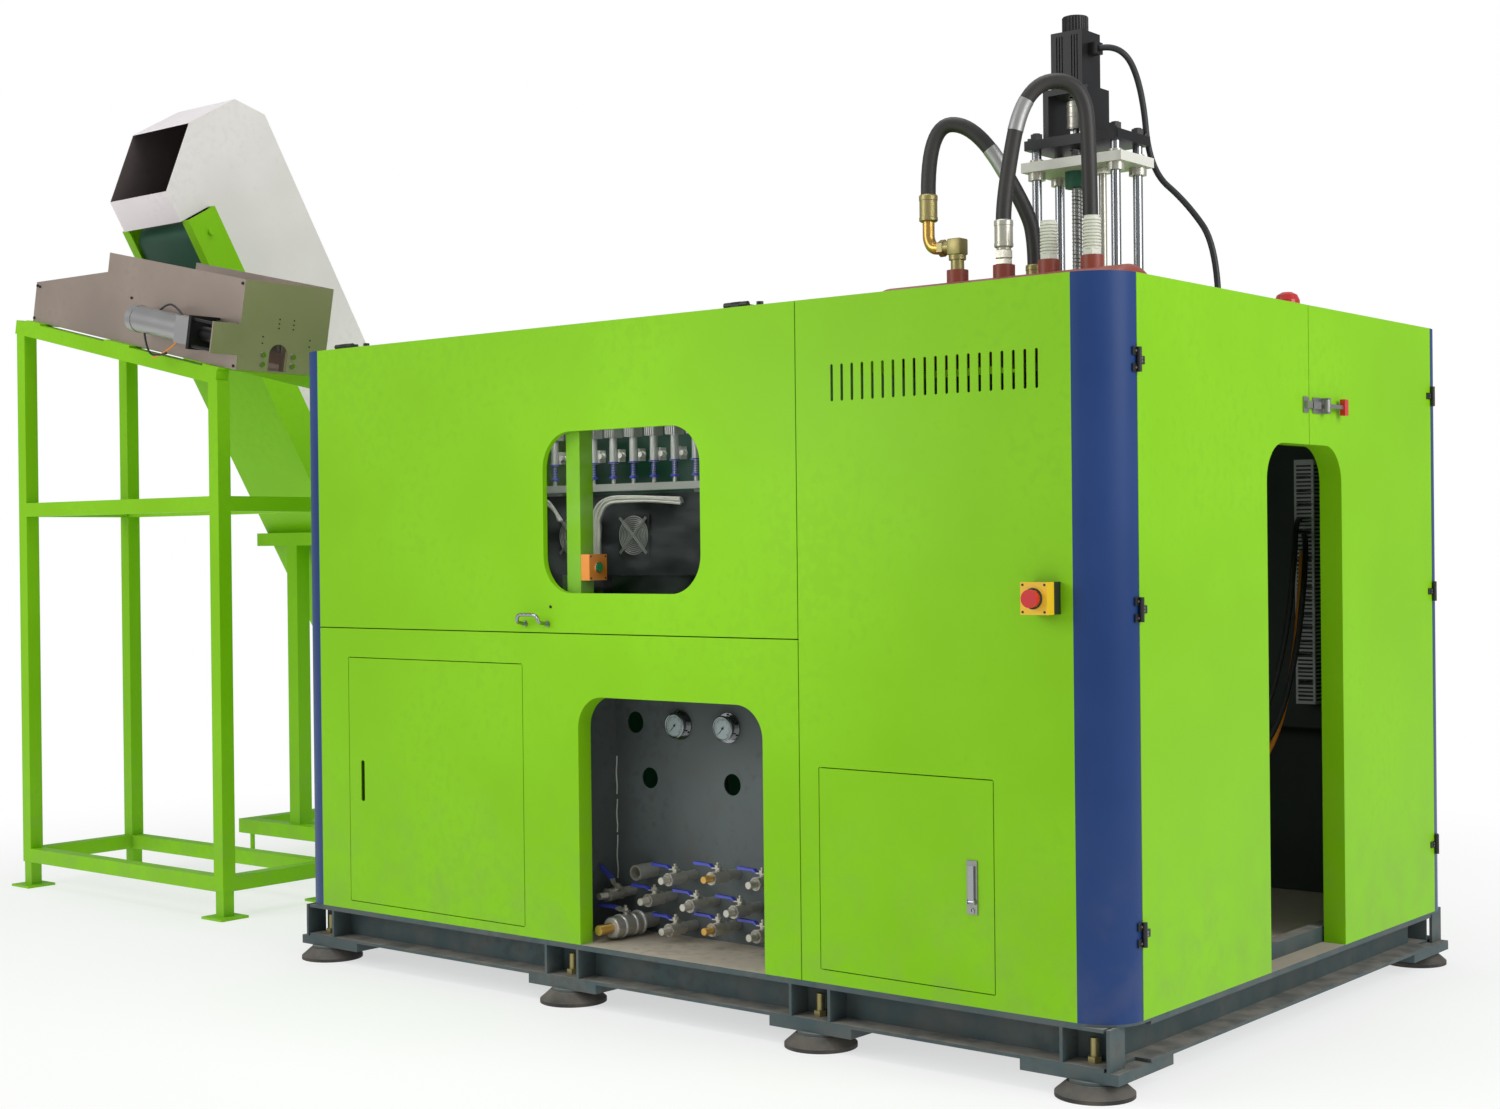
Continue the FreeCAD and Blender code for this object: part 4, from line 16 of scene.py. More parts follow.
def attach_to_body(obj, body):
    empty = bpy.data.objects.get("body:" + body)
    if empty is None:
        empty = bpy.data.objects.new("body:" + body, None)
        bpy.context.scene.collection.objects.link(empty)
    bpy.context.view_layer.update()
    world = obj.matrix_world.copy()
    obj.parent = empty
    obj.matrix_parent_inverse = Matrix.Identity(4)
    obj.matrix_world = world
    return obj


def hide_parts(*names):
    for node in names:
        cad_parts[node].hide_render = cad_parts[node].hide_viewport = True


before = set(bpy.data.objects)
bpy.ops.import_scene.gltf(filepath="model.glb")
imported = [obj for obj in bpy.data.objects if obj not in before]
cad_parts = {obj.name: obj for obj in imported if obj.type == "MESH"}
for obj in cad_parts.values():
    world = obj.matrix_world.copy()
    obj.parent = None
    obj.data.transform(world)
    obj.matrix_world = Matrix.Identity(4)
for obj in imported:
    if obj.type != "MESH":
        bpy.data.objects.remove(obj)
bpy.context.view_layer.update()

LOG = logging.getLogger("blow_moulding_machine")
Colour = tuple[float, float, float]
SHIFT = Vector((2348.75, -1125.5, 0.0))
SHARP_EDGE = math.radians(32.0)
WHITE = (1.0, 1.0, 1.0)
GRIME = (0.05, 0.045, 0.035)
RUST = (0.16, 0.07, 0.03)
SOIL = (0.22, 0.19, 0.15)
DUST = (0.36, 0.33, 0.28)
FRONT = (0.0, -1.0, 0.0)
RIGHT = (1.0, 0.0, 0.0)
UP = (0.0, 0.0, 1.0)


def spot(x: float, y: float, z: float) -> Vector:
    """Turn a place on the machine, in millimetres, into the model frame in metres."""
    return (Vector((x, y, z)) + SHIFT) / 1000.0


def tint(red: int, green: int, blue: int) -> Colour:
    """Turn a screen colour of 0 to 255 into linear light."""
    def linear(part: float) -> float:
        """Undo the screen curve of one channel."""
        part /= 255.0
        return part / 12.92 if part <= 0.04045 else ((part + 0.055) / 1.055) ** 2.4
    return linear(red), linear(green), linear(blue)


# --------------------------------------------------------------------------- shader maths


class Wire:
    """A number or colour that flows between shader nodes."""

    def __init__(self, nodes: "Nodes", socket: bpy.types.NodeSocket) -> None:
        """Keep the tree and the output socket."""
        self.nodes = nodes
        self.socket = socket

    def _math(self, operation: str, *values: "Wire | float") -> "Wire":
        """Add one Math node on values in order."""
        return self.nodes.add("ShaderNodeMath", {"operation": operation}, dict(enumerate(values)))

    def __add__(self, other: "Wire | float") -> "Wire":
        """Add a value."""
        return self._math("ADD", self, other)

    def __radd__(self, other: float) -> "Wire":
        """Add to a number."""
        return self._math("ADD", other, self)

    def __mul__(self, other: "Wire | float") -> "Wire":
        """Multiply by a value."""
        return self._math("MULTIPLY", self, other)

    def __rmul__(self, other: float) -> "Wire":
        """Multiply a number."""
        return self._math("MULTIPLY", other, self)

    def held(self, low: float, high: float, start: float = 0.0, end: float = 1.0) -> "Wire":
        """Map a range smoothly and hold it at the ends.

        Args:
            low: The value that gives start.
            high: The value that gives end.
            start: The result at low.
            end: The result at high.

        Returns:
            The mapped value.
        """
        return self.nodes.add("ShaderNodeMapRange", {"interpolation_type": "SMOOTHSTEP"},
                              {0: self, 1: low, 2: high, 3: start, 4: end})


class Nodes:
    """A node tree under construction."""

    def __init__(self, tree: bpy.types.NodeTree) -> None:
        """Start from an empty tree."""
        self.tree = tree
        tree.nodes.clear()

    def add(self, kind: str, settings: dict[str, object], inputs: dict[int | str, object],
            output: int | str = 0) -> Wire:
        """Add one node.

        Args:
            kind: The node's type.
            settings: Its properties, set first.
            inputs: Values or wires by input name or number.
            output: The output to hand back.

        Returns:
            The chosen output.
        """
        node = self.tree.nodes.new(kind)
        for key, setting in settings.items():
            setattr(node, key, setting)
        for key, entry in inputs.items():
            self.feed(node, key, entry)
        return Wire(self, node.outputs[output])

    def feed(self, node: bpy.types.Node, key: int | str, entry: object) -> None:
        """Set or link one input of a node."""
        socket = node.inputs[key]
        if isinstance(entry, Wire):
            self.tree.links.new(entry.socket, socket)
        elif isinstance(entry, tuple) and len(entry) == 3 and socket.type == "RGBA":
            socket.default_value = (*entry, 1.0)
        else:
            socket.default_value = entry


class Graph(Nodes):
    """A material under construction."""

    def __init__(self, name: str) -> None:
        """Start a material with one surface shader.

        Args:
            name: The material's name.
        """
        self.wanted = name
        self.material = bpy.data.materials.new(name)
        self.material.use_nodes = True
        super().__init__(self.material.node_tree)
        self.output = self.tree.nodes.new("ShaderNodeOutputMaterial")
        self.surface = self.tree.nodes.new("ShaderNodeBsdfPrincipled")
        self.tree.links.new(self.surface.outputs[0], self.output.inputs[0])
        self.place = self.add("ShaderNodeTexCoord", {}, {}, "Object")

    def noise(self, scale: float, detail: float = 3.0,
              stretch: tuple[float, float, float] = (1.0, 1.0, 1.0)) -> Wire:
        """Give clouds from 0 to 1 that stay on the piece, so many to a metre."""
        place = self.add("ShaderNodeMapping", {}, {"Vector": self.place, "Scale": stretch})
        return self.add("ShaderNodeTexNoise", {}, {"Vector": place, "Scale": scale,
                                                   "Detail": detail})

    def mix(self, factor: Wire | float, first: Wire | Colour, second: Wire | Colour) -> Wire:
        """Mix a share of a second colour into the first."""
        return self.add("ShaderNodeMix", {"data_type": "RGBA"}, {0: factor, 6: first, 7: second},
                        2)

    def axis(self, number: int) -> Wire:
        """Give one coordinate in metres."""
        return self.add("ShaderNodeSeparateXYZ", {}, {0: self.place}, number)

    def upward(self) -> Wire:
        """Give how far a face looks upwards, from -1 to 1."""
        normal = self.add("ShaderNodeNewGeometry", {}, {}, "Normal")
        return self.add("ShaderNodeSeparateXYZ", {}, {0: normal}, 2)

    def bump(self, height: Wire, depth: float, strength: float = 1.0) -> Wire:
        """Turn a height into a bent normal."""
        return self.add("ShaderNodeBump", {}, {"Height": height, "Distance": depth,
                                               "Strength": strength})

    def close(self, inputs: dict[str, object], slot: str = "") -> bpy.types.Material:
        """Set the surface's inputs and hand over the material.

        Args:
            inputs: Values or wires by input name.
            slot: The record's material slot, where it isn't the material's own name.

        Returns:
            The finished material.
        """
        for key, entry in inputs.items():
            self.feed(self.surface, key, entry)
        self.material["slot"] = slot or self.wanted
        return self.material


class Grain(Enum):
    """The fine structure of a surface."""

    PEEL = "orange peel of sprayed or powder coat"
    BRUSHED = "lines of rolled or brushed sheet"
    TURNED = "rings of a turned bar"
    CAST = "rough skin of a casting"
    MOULDED = "fine moulded texture"


@dataclass(frozen=True)
class Finish:
    """One finish with its wear."""

    name: str
    colour: Colour
    roughness: float = 0.4
    metallic: float = 0.0
    grain: Grain = Grain.PEEL
    depth: float = 0.00008
    mottle: float = 0.10
    dust: float = 0.0
    grime: float = 0.0
    rust: float = 0.0
    low_dirt: float = 0.0
    coat: float = 0.0
    brush_along: int = 0
    shine: float = 0.5
    slot: str = ""

    def _height(self, graph: Graph) -> Wire:
        """Give the height pattern of the grain.

        Args:
            graph: The material's graph.

        Returns:
            The height.
        """
        if self.grain is Grain.PEEL:
            return graph.noise(420.0, 2.0)
        if self.grain is Grain.BRUSHED:
            stretch = [90.0, 90.0, 90.0]
            stretch[self.brush_along] = 1.2
            return graph.noise(9.0, 4.0, tuple(stretch))
        if self.grain is Grain.TURNED:
            return graph.noise(60.0, 3.0, (0.4, 0.4, 30.0))
        if self.grain is Grain.CAST:
            return graph.noise(260.0, 5.0)
        return graph.noise(900.0, 1.0)

    def build(self) -> bpy.types.Material:
        """Make the material.

        Returns:
            The finished material.
        """
        graph = Graph(self.name)
        cloud = graph.noise(2.3, 4.0)
        fine = graph.noise(38.0, 3.0)
        height = self._height(graph)
        dark = tuple(part * (1.0 - self.mottle) for part in self.colour)
        light = tuple(min(1.0, part * (1.0 + self.mottle) + 0.004) for part in self.colour)
        colour = graph.mix(cloud.held(0.3, 0.7), dark, light)
        if self.metallic > 0.5:
            colour = graph.mix(height * 0.35, colour, light)
        roughness = cloud.held(0.2, 0.8, self.roughness * 0.88, self.roughness * 1.12)
        for amount, tone, dull, mask in (
                (self.grime, GRIME, 0.25, lambda: (fine * cloud).held(0.27, 0.42)),
                (self.rust, RUST, 0.3, lambda: graph.noise(14.0, 6.0).held(0.56, 0.68)),
                (self.low_dirt, SOIL, 0.3, lambda: graph.axis(2).held(0.75, 0.12) *
                 graph.noise(11.0, 5.0).held(0.35, 0.75)),
                (self.dust, DUST, 0.4, lambda: graph.upward().held(0.55, 0.95) *
                 graph.noise(17.0, 5.0).held(0.25, 0.7, 0.35))):
            if amount > 0:
                layer = mask()
                colour = graph.mix(layer * amount, colour, tone)
                roughness = roughness + layer * (dull * amount)
        inputs: dict[str, object] = {
            "Base Color": colour, "Roughness": roughness, "Metallic": self.metallic,
            "Specular IOR Level": self.shine, "Normal": graph.bump(height, self.depth)}
        if self.coat > 0:
            inputs["Coat Weight"] = self.coat
            inputs["Coat Roughness"] = 0.12
        return graph.close(inputs, self.slot)


@dataclass(frozen=True)
class ClearSheet(Finish):
    """A clear plastic pane with light smears."""

    haze: float = 0.025

    def build(self) -> bpy.types.Material:
        """Make the clear material.

        Returns:
            The finished material.
        """
        graph = Graph(self.name)
        smear = graph.noise(6.0, 5.0, (1.0, 1.0, 2.4))
        return graph.close({"Base Color": self.colour, "Roughness": self.roughness,
                            "Alpha": smear.held(0.3, 0.8, 0.0, self.haze),
                            "Specular IOR Level": self.shine,
                            "Normal": graph.bump(smear, 0.0002, 0.3)}, self.slot)


FINISHES: tuple[Finish, ...] = (
    Finish("lime_paint", tint(130, 196, 10), 0.46, mottle=0.04, grime=0.05,
           low_dirt=0.16, depth=0.00006, shine=0.18),
    Finish("lime_frame", tint(122, 186, 16), 0.48, mottle=0.08, grime=0.14, dust=0.2, shine=0.2,
           slot="lime_paint"),
    Finish("blue_paint", tint(26, 58, 112), 0.4, mottle=0.07, low_dirt=0.1, shine=0.25),
    Finish("base_paint", tint(68, 84, 86), 0.62, mottle=0.14, grime=0.3, rust=0.08, dust=0.75,
           low_dirt=0.25, shine=0.3, slot="dark_paint"),
    Finish("niche_paint", tint(92, 100, 100), 0.62, mottle=0.12, grime=0.25, rust=0.1,
           dust=0.8, shine=0.3, slot="grey_paint"),
    Finish("housing_paint", tint(50, 54, 58), 0.5, mottle=0.12, grime=0.2, dust=0.3, shine=0.3,
           slot="grey_paint"),
    Finish("pipe_paint", tint(160, 160, 154), 0.5, mottle=0.1, grime=0.15, dust=0.3,
           slot="grey_paint"),
    # A dark grey-green laid on inner faces of the lime frame and rear panel: painted shade inside
    # the cabinet.
    Finish("inner_painted_shade", tint(58, 68, 64), 0.6, mottle=0.12, grime=0.2, dust=0.3, shine=0.3,
           slot="dark_paint"),
    Finish("sill_dust", tint(186, 176, 160), 0.8, mottle=0.16, grime=0.2, shine=0.2,
           slot="grey_paint"),
    Finish("bright_wire", tint(206, 206, 204), 0.3, 0.3, Grain.TURNED, 0.00002, 0.05,
           slot="steel"),
    Finish("spindle_grey", tint(196, 196, 192), 0.36, 0.2, Grain.MOULDED, 0.00002, 0.06,
           slot="aluminium"),
    Finish("dial_face", tint(172, 187, 188), 0.3, grain=Grain.MOULDED, mottle=0.04,
           slot="white_plastic"),
    Finish("tank_paint", tint(142, 58, 42), 0.42, mottle=0.14, grime=0.15, dust=0.25,
           slot="red_paint"),
    Finish("rubber", tint(30, 30, 31), 0.72, grain=Grain.MOULDED, mottle=0.25, dust=0.55,
           low_dirt=0.35),
    Finish("hose", tint(40, 37, 36), 0.5, grain=Grain.MOULDED, mottle=0.25, dust=0.15,
           slot="hose_rubber"),
    Finish("cable", tint(34, 35, 38), 0.5, grain=Grain.MOULDED, mottle=0.2, slot="hose_rubber"),
    Finish("zinc", tint(158, 146, 98), 0.42, 0.85, Grain.TURNED, 0.00005, 0.18, dust=0.3,
           slot="brass"),
    Finish("steel", tint(150, 150, 147), 0.36, 0.9, Grain.TURNED, 0.00004, 0.14, grime=0.12),
    Finish("chrome", tint(158, 160, 162), 0.2, 1.0, Grain.TURNED, 0.00001, 0.05),
    Finish("stainless", tint(172, 156, 144), 0.36, 0.75, Grain.BRUSHED, 0.00006, 0.10, grime=0.10),
    Finish("pale_stainless", tint(236, 229, 229), 0.4, 0.12, Grain.BRUSHED, 0.00003, 0.05,
           grime=0.05, brush_along=2, slot="stainless"),
    # A darker copy of the hood's pale stainless for its inward faces: painted shade inside the
    # hood.
    Finish("hood_painted_shade", tint(118, 108, 106), 0.4, 0.5, Grain.BRUSHED, 0.00003, 0.08,
           grime=0.1, slot="stainless"),
    Finish("aluminium", tint(166, 166, 164), 0.42, 0.85, Grain.CAST, 0.0001, 0.08, grime=0.06),
    Finish("black_oxide", tint(34, 34, 35), 0.4, 0.6, Grain.CAST, 0.00008, 0.2, dust=0.2,
           slot="black_metal"),
    Finish("brass", tint(202, 160, 84), 0.3, 0.9, Grain.TURNED, 0.00004, 0.12, grime=0.15),
    Finish("nickel", tint(190, 186, 174), 0.3, 0.55, Grain.CAST, 0.00005, 0.12, grime=0.18,
           slot="brass"),
    Finish("black_plastic", tint(26, 26, 27), 0.45, grain=Grain.MOULDED, mottle=0.15, dust=0.2),
    Finish("white_plastic", tint(226, 224, 216), 0.45, grain=Grain.MOULDED, mottle=0.04,
           grime=0.08),
    Finish("blue_sleeve", tint(64, 74, 186), 0.38, grain=Grain.MOULDED, mottle=0.12, coat=0.3,
           slot="blue_plastic"),
    Finish("red_plastic", tint(196, 24, 26), 0.3, grain=Grain.MOULDED, mottle=0.08, coat=0.4),
    Finish("green_plastic", tint(30, 150, 70), 0.3, grain=Grain.MOULDED, mottle=0.08, coat=0.4),
    Finish("yellow_plastic", tint(232, 186, 30), 0.36, grain=Grain.MOULDED, mottle=0.05, coat=0.2),
    Finish("orange_plastic", tint(232, 140, 30), 0.42, grain=Grain.MOULDED, mottle=0.08,
           slot="yellow_plastic"),
    Finish("duct_plastic", tint(204, 207, 211), 0.55, grain=Grain.MOULDED, mottle=0.07),
    Finish("belt", tint(22, 74, 52), 0.55, grain=Grain.MOULDED, mottle=0.18, dust=0.15,
           slot="belt_rubber"),
    Finish("inner_green", tint(34, 96, 74), 0.55, mottle=0.12, grime=0.2, slot="dark_paint"),
    ClearSheet("clear_sheet", tint(214, 224, 222), 0.06),
)
PAINT = {finish.name: finish.build() for finish in FINISHES}
Test = Callable[[Vector], bool]


# --------------------------------------------------------------------------- mesh making


def attach(name: str, data: bpy.types.Mesh | bpy.types.Curve, cover: str,
           body: str) -> bpy.types.Object:
    """Put new mesh or curve data into the scene on a body.

    Args:
        name: The piece's name.
        data: Its mesh or curve, without a material.
        cover: Its finish, which knows the record's material slot.
        body: The body that carries it.

    Returns:
        The new object.
    """
    data.materials.append(PAINT[cover])
    piece = bpy.data.objects.new(name, data)
    bpy.context.scene.collection.objects.link(piece)
    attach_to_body(piece, body)
    LOG.info("piece %s on %s", name, body)
    return piece


def facing(axis: Sequence[float]) -> Quaternion:
    """Give the turn that brings Z onto an axis."""
    return Vector(UP).rotation_difference(Vector(axis).normalized())


def ridged(start: float, end: float, low: float, high: float,
           count: int) -> list[tuple[float, float]]:
    """Give a turned profile with ridges, such as a thread or a silencer's ribs.

    Args:
        start: Distance along the axis to the first groove.
        end: Distance to the last groove.
        low: Radius in the grooves.
        high: Radius on the ridges.
        count: How many ridges.

    Returns:
        Pairs of distance and radius.
    """
    step = (end - start) / count
    profile = [(start, low)]
    for i in range(count):
        foot = start + i * step
        profile += [(foot + 0.15 * step, high), (foot + 0.7 * step, high), (foot + step, low)]
    return profile


def chamfered(width: float, cut: float, low: float, high: float) -> list[tuple[float, float]]:
    """Give a turned ring's profile with both edges cut down from one radius to another."""
    return [(0.0, low), (cut, high), (width - cut, high), (width, low)]


class Shape:
    """Collects simple closed forms into one mesh, in machine millimetres."""

    def __init__(self) -> None:
        """Start with an empty mesh."""
        self.mesh = bmesh.new()

    def block(self, low: Sequence[float], high: Sequence[float], bevel: float = 0.0,
              placed: Matrix = Matrix.Identity(4)) -> "Shape":
        """Add a block with softened edges.

        Args:
            low: Its lowest corner.
            high: Its highest corner.
            bevel: The edge radius.
            placed: Where its own frame lies.

        Returns:
            This shape.
        """
        size = Vector(high) - Vector(low)
        centre = (Vector(high) + Vector(low)) / 2
        made = bmesh.ops.create_cube(self.mesh, size=1.0)
        matrix = placed @ Matrix.Translation(centre) @ Matrix.Diagonal((*size, 1.0))
        bmesh.ops.transform(self.mesh, matrix=matrix, verts=made["verts"])
        if bevel > 0:
            edges = dict.fromkeys(edge for vert in made["verts"] for edge in vert.link_edges)
            bmesh.ops.bevel(self.mesh, geom=list(edges), offset=bevel, segments=2, profile=0.5,
                            affect="EDGES")
        return self

    def lathe(self, origin: Sequence[float], axis: Sequence[float],
              profile: Sequence[tuple[float, float]], sides: int = 24) -> "Shape":
        """Add a turned form.

        Args:
            origin: The start of its axis.
            axis: The axis direction.
            profile: Pairs of distance along the axis and radius, both ends included.
            sides: The number of flat sides.

        Returns:
            This shape.
        """
        turn = facing(axis).to_matrix()
        rings = []
        for along, radius in profile:
            ring = []
            for i in range(sides):
                angle = math.tau * i / sides
                place = Vector((radius * math.cos(angle), radius * math.sin(angle), along))
                ring.append(self.mesh.verts.new(Vector(origin) + turn @ place))
            rings.append(ring)
        for first, second in zip(rings, rings[1:]):
            for i in range(sides):
                j = (i + 1) % sides
                self.mesh.faces.new((first[i], first[j], second[j], second[i]))
        self.mesh.faces.new(list(reversed(rings[0])))
        self.mesh.faces.new(rings[-1])
        return self

    def finish(self, name: str, cover: str, body: str = "machine") -> bpy.types.Object:
        """Close the mesh and attach it to a body.

        Args:
            name: The piece's name.
            cover: Its finish.
            body: The body that carries it.

        Returns:
            The new object.
        """
        for vert in self.mesh.verts:
            vert.co = spot(*vert.co)
        bmesh.ops.recalc_face_normals(self.mesh, faces=self.mesh.faces)
        data = bpy.data.meshes.new(name)
        self.mesh.to_mesh(data)
        self.mesh.free()
        soften(data)
        return attach(name, data, cover, body)


def soften(data: bpy.types.Mesh) -> None:
    """Shade a mesh smooth but keep its sharp edges."""
    data.shade_smooth()
    data.set_sharp_from_angle(angle=SHARP_EDGE)


def tube(name: str, route: Sequence[Vector], radius: float, cover: str,
         body: str = "machine") -> bpy.types.Object:
    """Make a wire or tube along a smooth route, closed at both ends.

    Args:
        name: The piece's name.
        route: Control points in the model frame.
        radius: Its radius in metres.
        cover: Its finish.
        body: The body that carries it.

    Returns:
        The new object.
    """
    curve = bpy.data.curves.new(name, "CURVE")
    curve.dimensions = "3D"
    curve.bevel_depth = radius
    curve.bevel_resolution = 5
    curve.resolution_u = 10
    curve.use_fill_caps = True
    spline = curve.splines.new("NURBS")
    spline.points.add(len(route) - 1)
    for point, place in zip(spline.points, route):
        point.co = (*place, 1.0)
    spline.order_u = 3
    spline.use_endpoint_u = True
    return attach(name, curve, cover, body)


# --------------------------------------------------------------------------- repeated pieces


class Pattern(Nodes):
    """A Geometry Nodes tree that repeats one form on points and ends as a plain mesh."""

    def __init__(self, name: str, sizes: dict[str, float | int]) -> None:
        """Start a tree with named number inputs.

        Args:
            name: The name of the tree and of the piece.
            sizes: Inputs with their values; whole numbers become integer inputs.
        """
        super().__init__(bpy.data.node_groups.new(name, "GeometryNodeTree"))
        self.name = name
        self.sizes = sizes
        socket = self.tree.interface.new_socket
        socket("Geometry", in_out="INPUT", socket_type="NodeSocketGeometry")
        socket("Geometry", in_out="OUTPUT", socket_type="NodeSocketGeometry")
        for key, number in sizes.items():
            kind = "NodeSocketInt" if isinstance(number, int) else "NodeSocketFloat"
            socket(key, in_out="INPUT", socket_type=kind)
        self.start = self.tree.nodes.new("NodeGroupInput")
        self.end = self.tree.nodes.new("NodeGroupOutput")

    def __getitem__(self, key: str) -> Wire:
        """Give a named input."""
        return Wire(self, self.start.outputs[key])

    def skin(self, curve: Wire, sides: int, capped: bool) -> Wire:
        """Give a curve a round section of the named wire radius, with so many flat sides."""
        section = self.add("GeometryNodeCurvePrimitiveCircle", {},
                           {"Resolution": sides, "Radius": self["Wire radius"]})
        return self.add("GeometryNodeCurveToMesh", {}, {
            "Curve": curve, "Profile Curve": section, "Fill Caps": capped})

    def scatter(self, form: Wire, axis: Sequence[float], scale: Wire | None = None) -> Wire:
        """Put a form on every point.

        Args:
            form: The form, which looks along Z.
            axis: The direction that it is turned to.
            scale: Its size on each point, where it changes.

        Returns:
            The instances.
        """
        inputs = {"Points": self["Geometry"], "Instance": form,
                  "Rotation": facing(axis).to_euler()}
        if scale is not None:
            inputs["Scale"] = scale
        return self.add("GeometryNodeInstanceOnPoints", {}, inputs)

    def close(self, form: Wire, points: Sequence[Vector], cover: str,
              body: str) -> bpy.types.Object:
        """End in Realize Instances and Set Material, and keep the plain result.

        Args:
            form: What the tree made.
            points: The places the tree starts from, in the model frame.
            cover: The finish.
            body: The body that carries the piece.

        Returns:
            The new object.
        """
        real = self.add("GeometryNodeRealizeInstances", {}, {0: form})
        self.feed(self.end, 0, self.add("GeometryNodeSetMaterial", {}, {
            "Geometry": real, "Material": PAINT[cover]}))
        data = bpy.data.meshes.new(self.name + "_points")
        data.from_pydata([tuple(point) for point in points], [], [])
        carrier = bpy.data.objects.new(self.name + "_points", data)
        bpy.context.scene.collection.objects.link(carrier)
        modifier = carrier.modifiers.new("tree", "NODES")
        modifier.node_group = self.tree
        for item in self.tree.interface.items_tree:
            if item.in_out == "INPUT" and item.name in self.sizes:
                modifier[item.identifier] = self.sizes[item.name]
        depsgraph = bpy.context.evaluated_depsgraph_get()
        mesh = bpy.data.meshes.new_from_object(carrier.evaluated_get(depsgraph))
        mesh.name = self.name
        bpy.data.objects.remove(carrier)
        mesh.materials.clear()
        soften(mesh)
        return attach(self.name, mesh, cover, body)


def studs(name: str, points: Sequence[Vector], axis: Sequence[float], radius: float,
          height: float, cover: str, body: str = "machine", sides: int = 16) -> bpy.types.Object:
    """Put one small round or six sided head on every point.

    Args:
        name: The piece's name.
        points: The middle of each head, in the model frame.
        axis: The direction the heads face.
        radius: Head radius in metres.
        height: Head height in metres.
        cover: The finish.
        body: The body that carries them.
        sides: 6 for hexagons, more for round heads.

    Returns:
        The new object.
    """
    tree = Pattern(name, {"Radius": radius, "Height": height, "Sides": sides})
    head = tree.add("GeometryNodeMeshCylinder", {}, {
        "Radius": tree["Radius"], "Depth": tree["Height"], "Vertices": tree["Sides"]})
    return tree.close(tree.scatter(head, axis), points, cover, body)


def blocks(name: str, points: Sequence[Vector], size: Sequence[float], cover: str,
           body: str = "machine") -> bpy.types.Object:
    """Put one block on every point.

    Args:
        name: The piece's name.
        points: The middle of each block, in the model frame.
        size: Its three sides in metres.
        cover: The finish.
        body: The body that carries them.

    Returns:
        The new object.
    """
    keys = ("Width", "Depth", "Height")
    tree = Pattern(name, dict(zip(keys, size)))
    sides = tree.add("ShaderNodeCombineXYZ", {}, {i: tree[key] for i, key in enumerate(keys)})
    block = tree.add("GeometryNodeMeshCube", {}, {"Size": sides})
    return tree.close(tree.scatter(block, UP), points, cover, body)


def rings(name: str, centre: Vector, axis: Sequence[float], count: int, first: float,
          grow: float, step: float, wire: float, cover: str,
          body: str = "machine") -> bpy.types.Object:
    """Make a row of wire rings that may grow outwards or march along an axis.

    Args:
        name: The piece's name.
        centre: The first ring's centre.
        axis: The axis of the rings.
        count: How many rings.
        first: Radius of the first ring in metres.
        grow: Radius added with each ring.
        step: Distance along the axis to the next ring.
        wire: Radius of the wire.
        cover: The finish.
        body: The body that carries them.

    Returns:
        The new object.
    """
    tree = Pattern(name, {"First radius": first, "Growth": grow, "Wire radius": wire})
    circle = tree.add("GeometryNodeCurvePrimitiveCircle", {}, {"Resolution": 32, "Radius": 1.0})
    index = tree.add("GeometryNodeInputIndex", {}, {})
    grown = index * tree["Growth"] + tree["First radius"]
    real = tree.add("GeometryNodeRealizeInstances", {}, {0: tree.scatter(circle, axis, grown)})
    points = [centre + Vector(axis).normalized() * step * i for i in range(count)]
    return tree.close(tree.skin(real, 8, False), points, cover, body)


def helix(name: str, feet: Sequence[Vector], radius: float, height: float, turns: float,
          wire: float, cover: str, body: str = "machine") -> bpy.types.Object:
    """Stand a spring of round wire on every point, along Z.

    Args:
        name: The piece's name.
        feet: Where each spring starts.
        radius: Radius of the helix in metres.
        height: Its height.
        turns: How many turns it makes.
        wire: Radius of the wire.
        cover: The finish.
        body: The body that carries it.

    Returns:
        The new object.
    """
    tree = Pattern(name, {"Radius": radius, "Height": height, "Turns": turns, "Wire radius": wire})
    coil = tree.add("GeometryNodeCurveSpiral", {}, {
        "Resolution": 20, "Start Radius": tree["Radius"], "End Radius": tree["Radius"],
        "Height": tree["Height"], "Rotations": tree["Turns"]})
    return tree.close(tree.scatter(tree.skin(coil, 6, True), UP), feet, cover, body)


def dress(node: str, base: str, *regions: tuple[str, Test]) -> None:
    """Give a carried-over solid its finish, with others where a test says so.

    Args:
        node: The node's name.
        base: The finish of the whole node.
        regions: Other finishes with tests on a face's centre in machine millimetres.
    """
    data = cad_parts[node].data
    data.materials.clear()
    for cover in (base, *(entry[0] for entry in regions)):
        data.materials.append(PAINT[cover])
    for face in data.polygons:
        centre = Vector(face.center) * 1000.0 - SHIFT
        face.material_index = next(
            (i for i, entry in enumerate(regions, start=1) if entry[1](centre)), 0)


# --------------------------------------------------------------------------- the studio


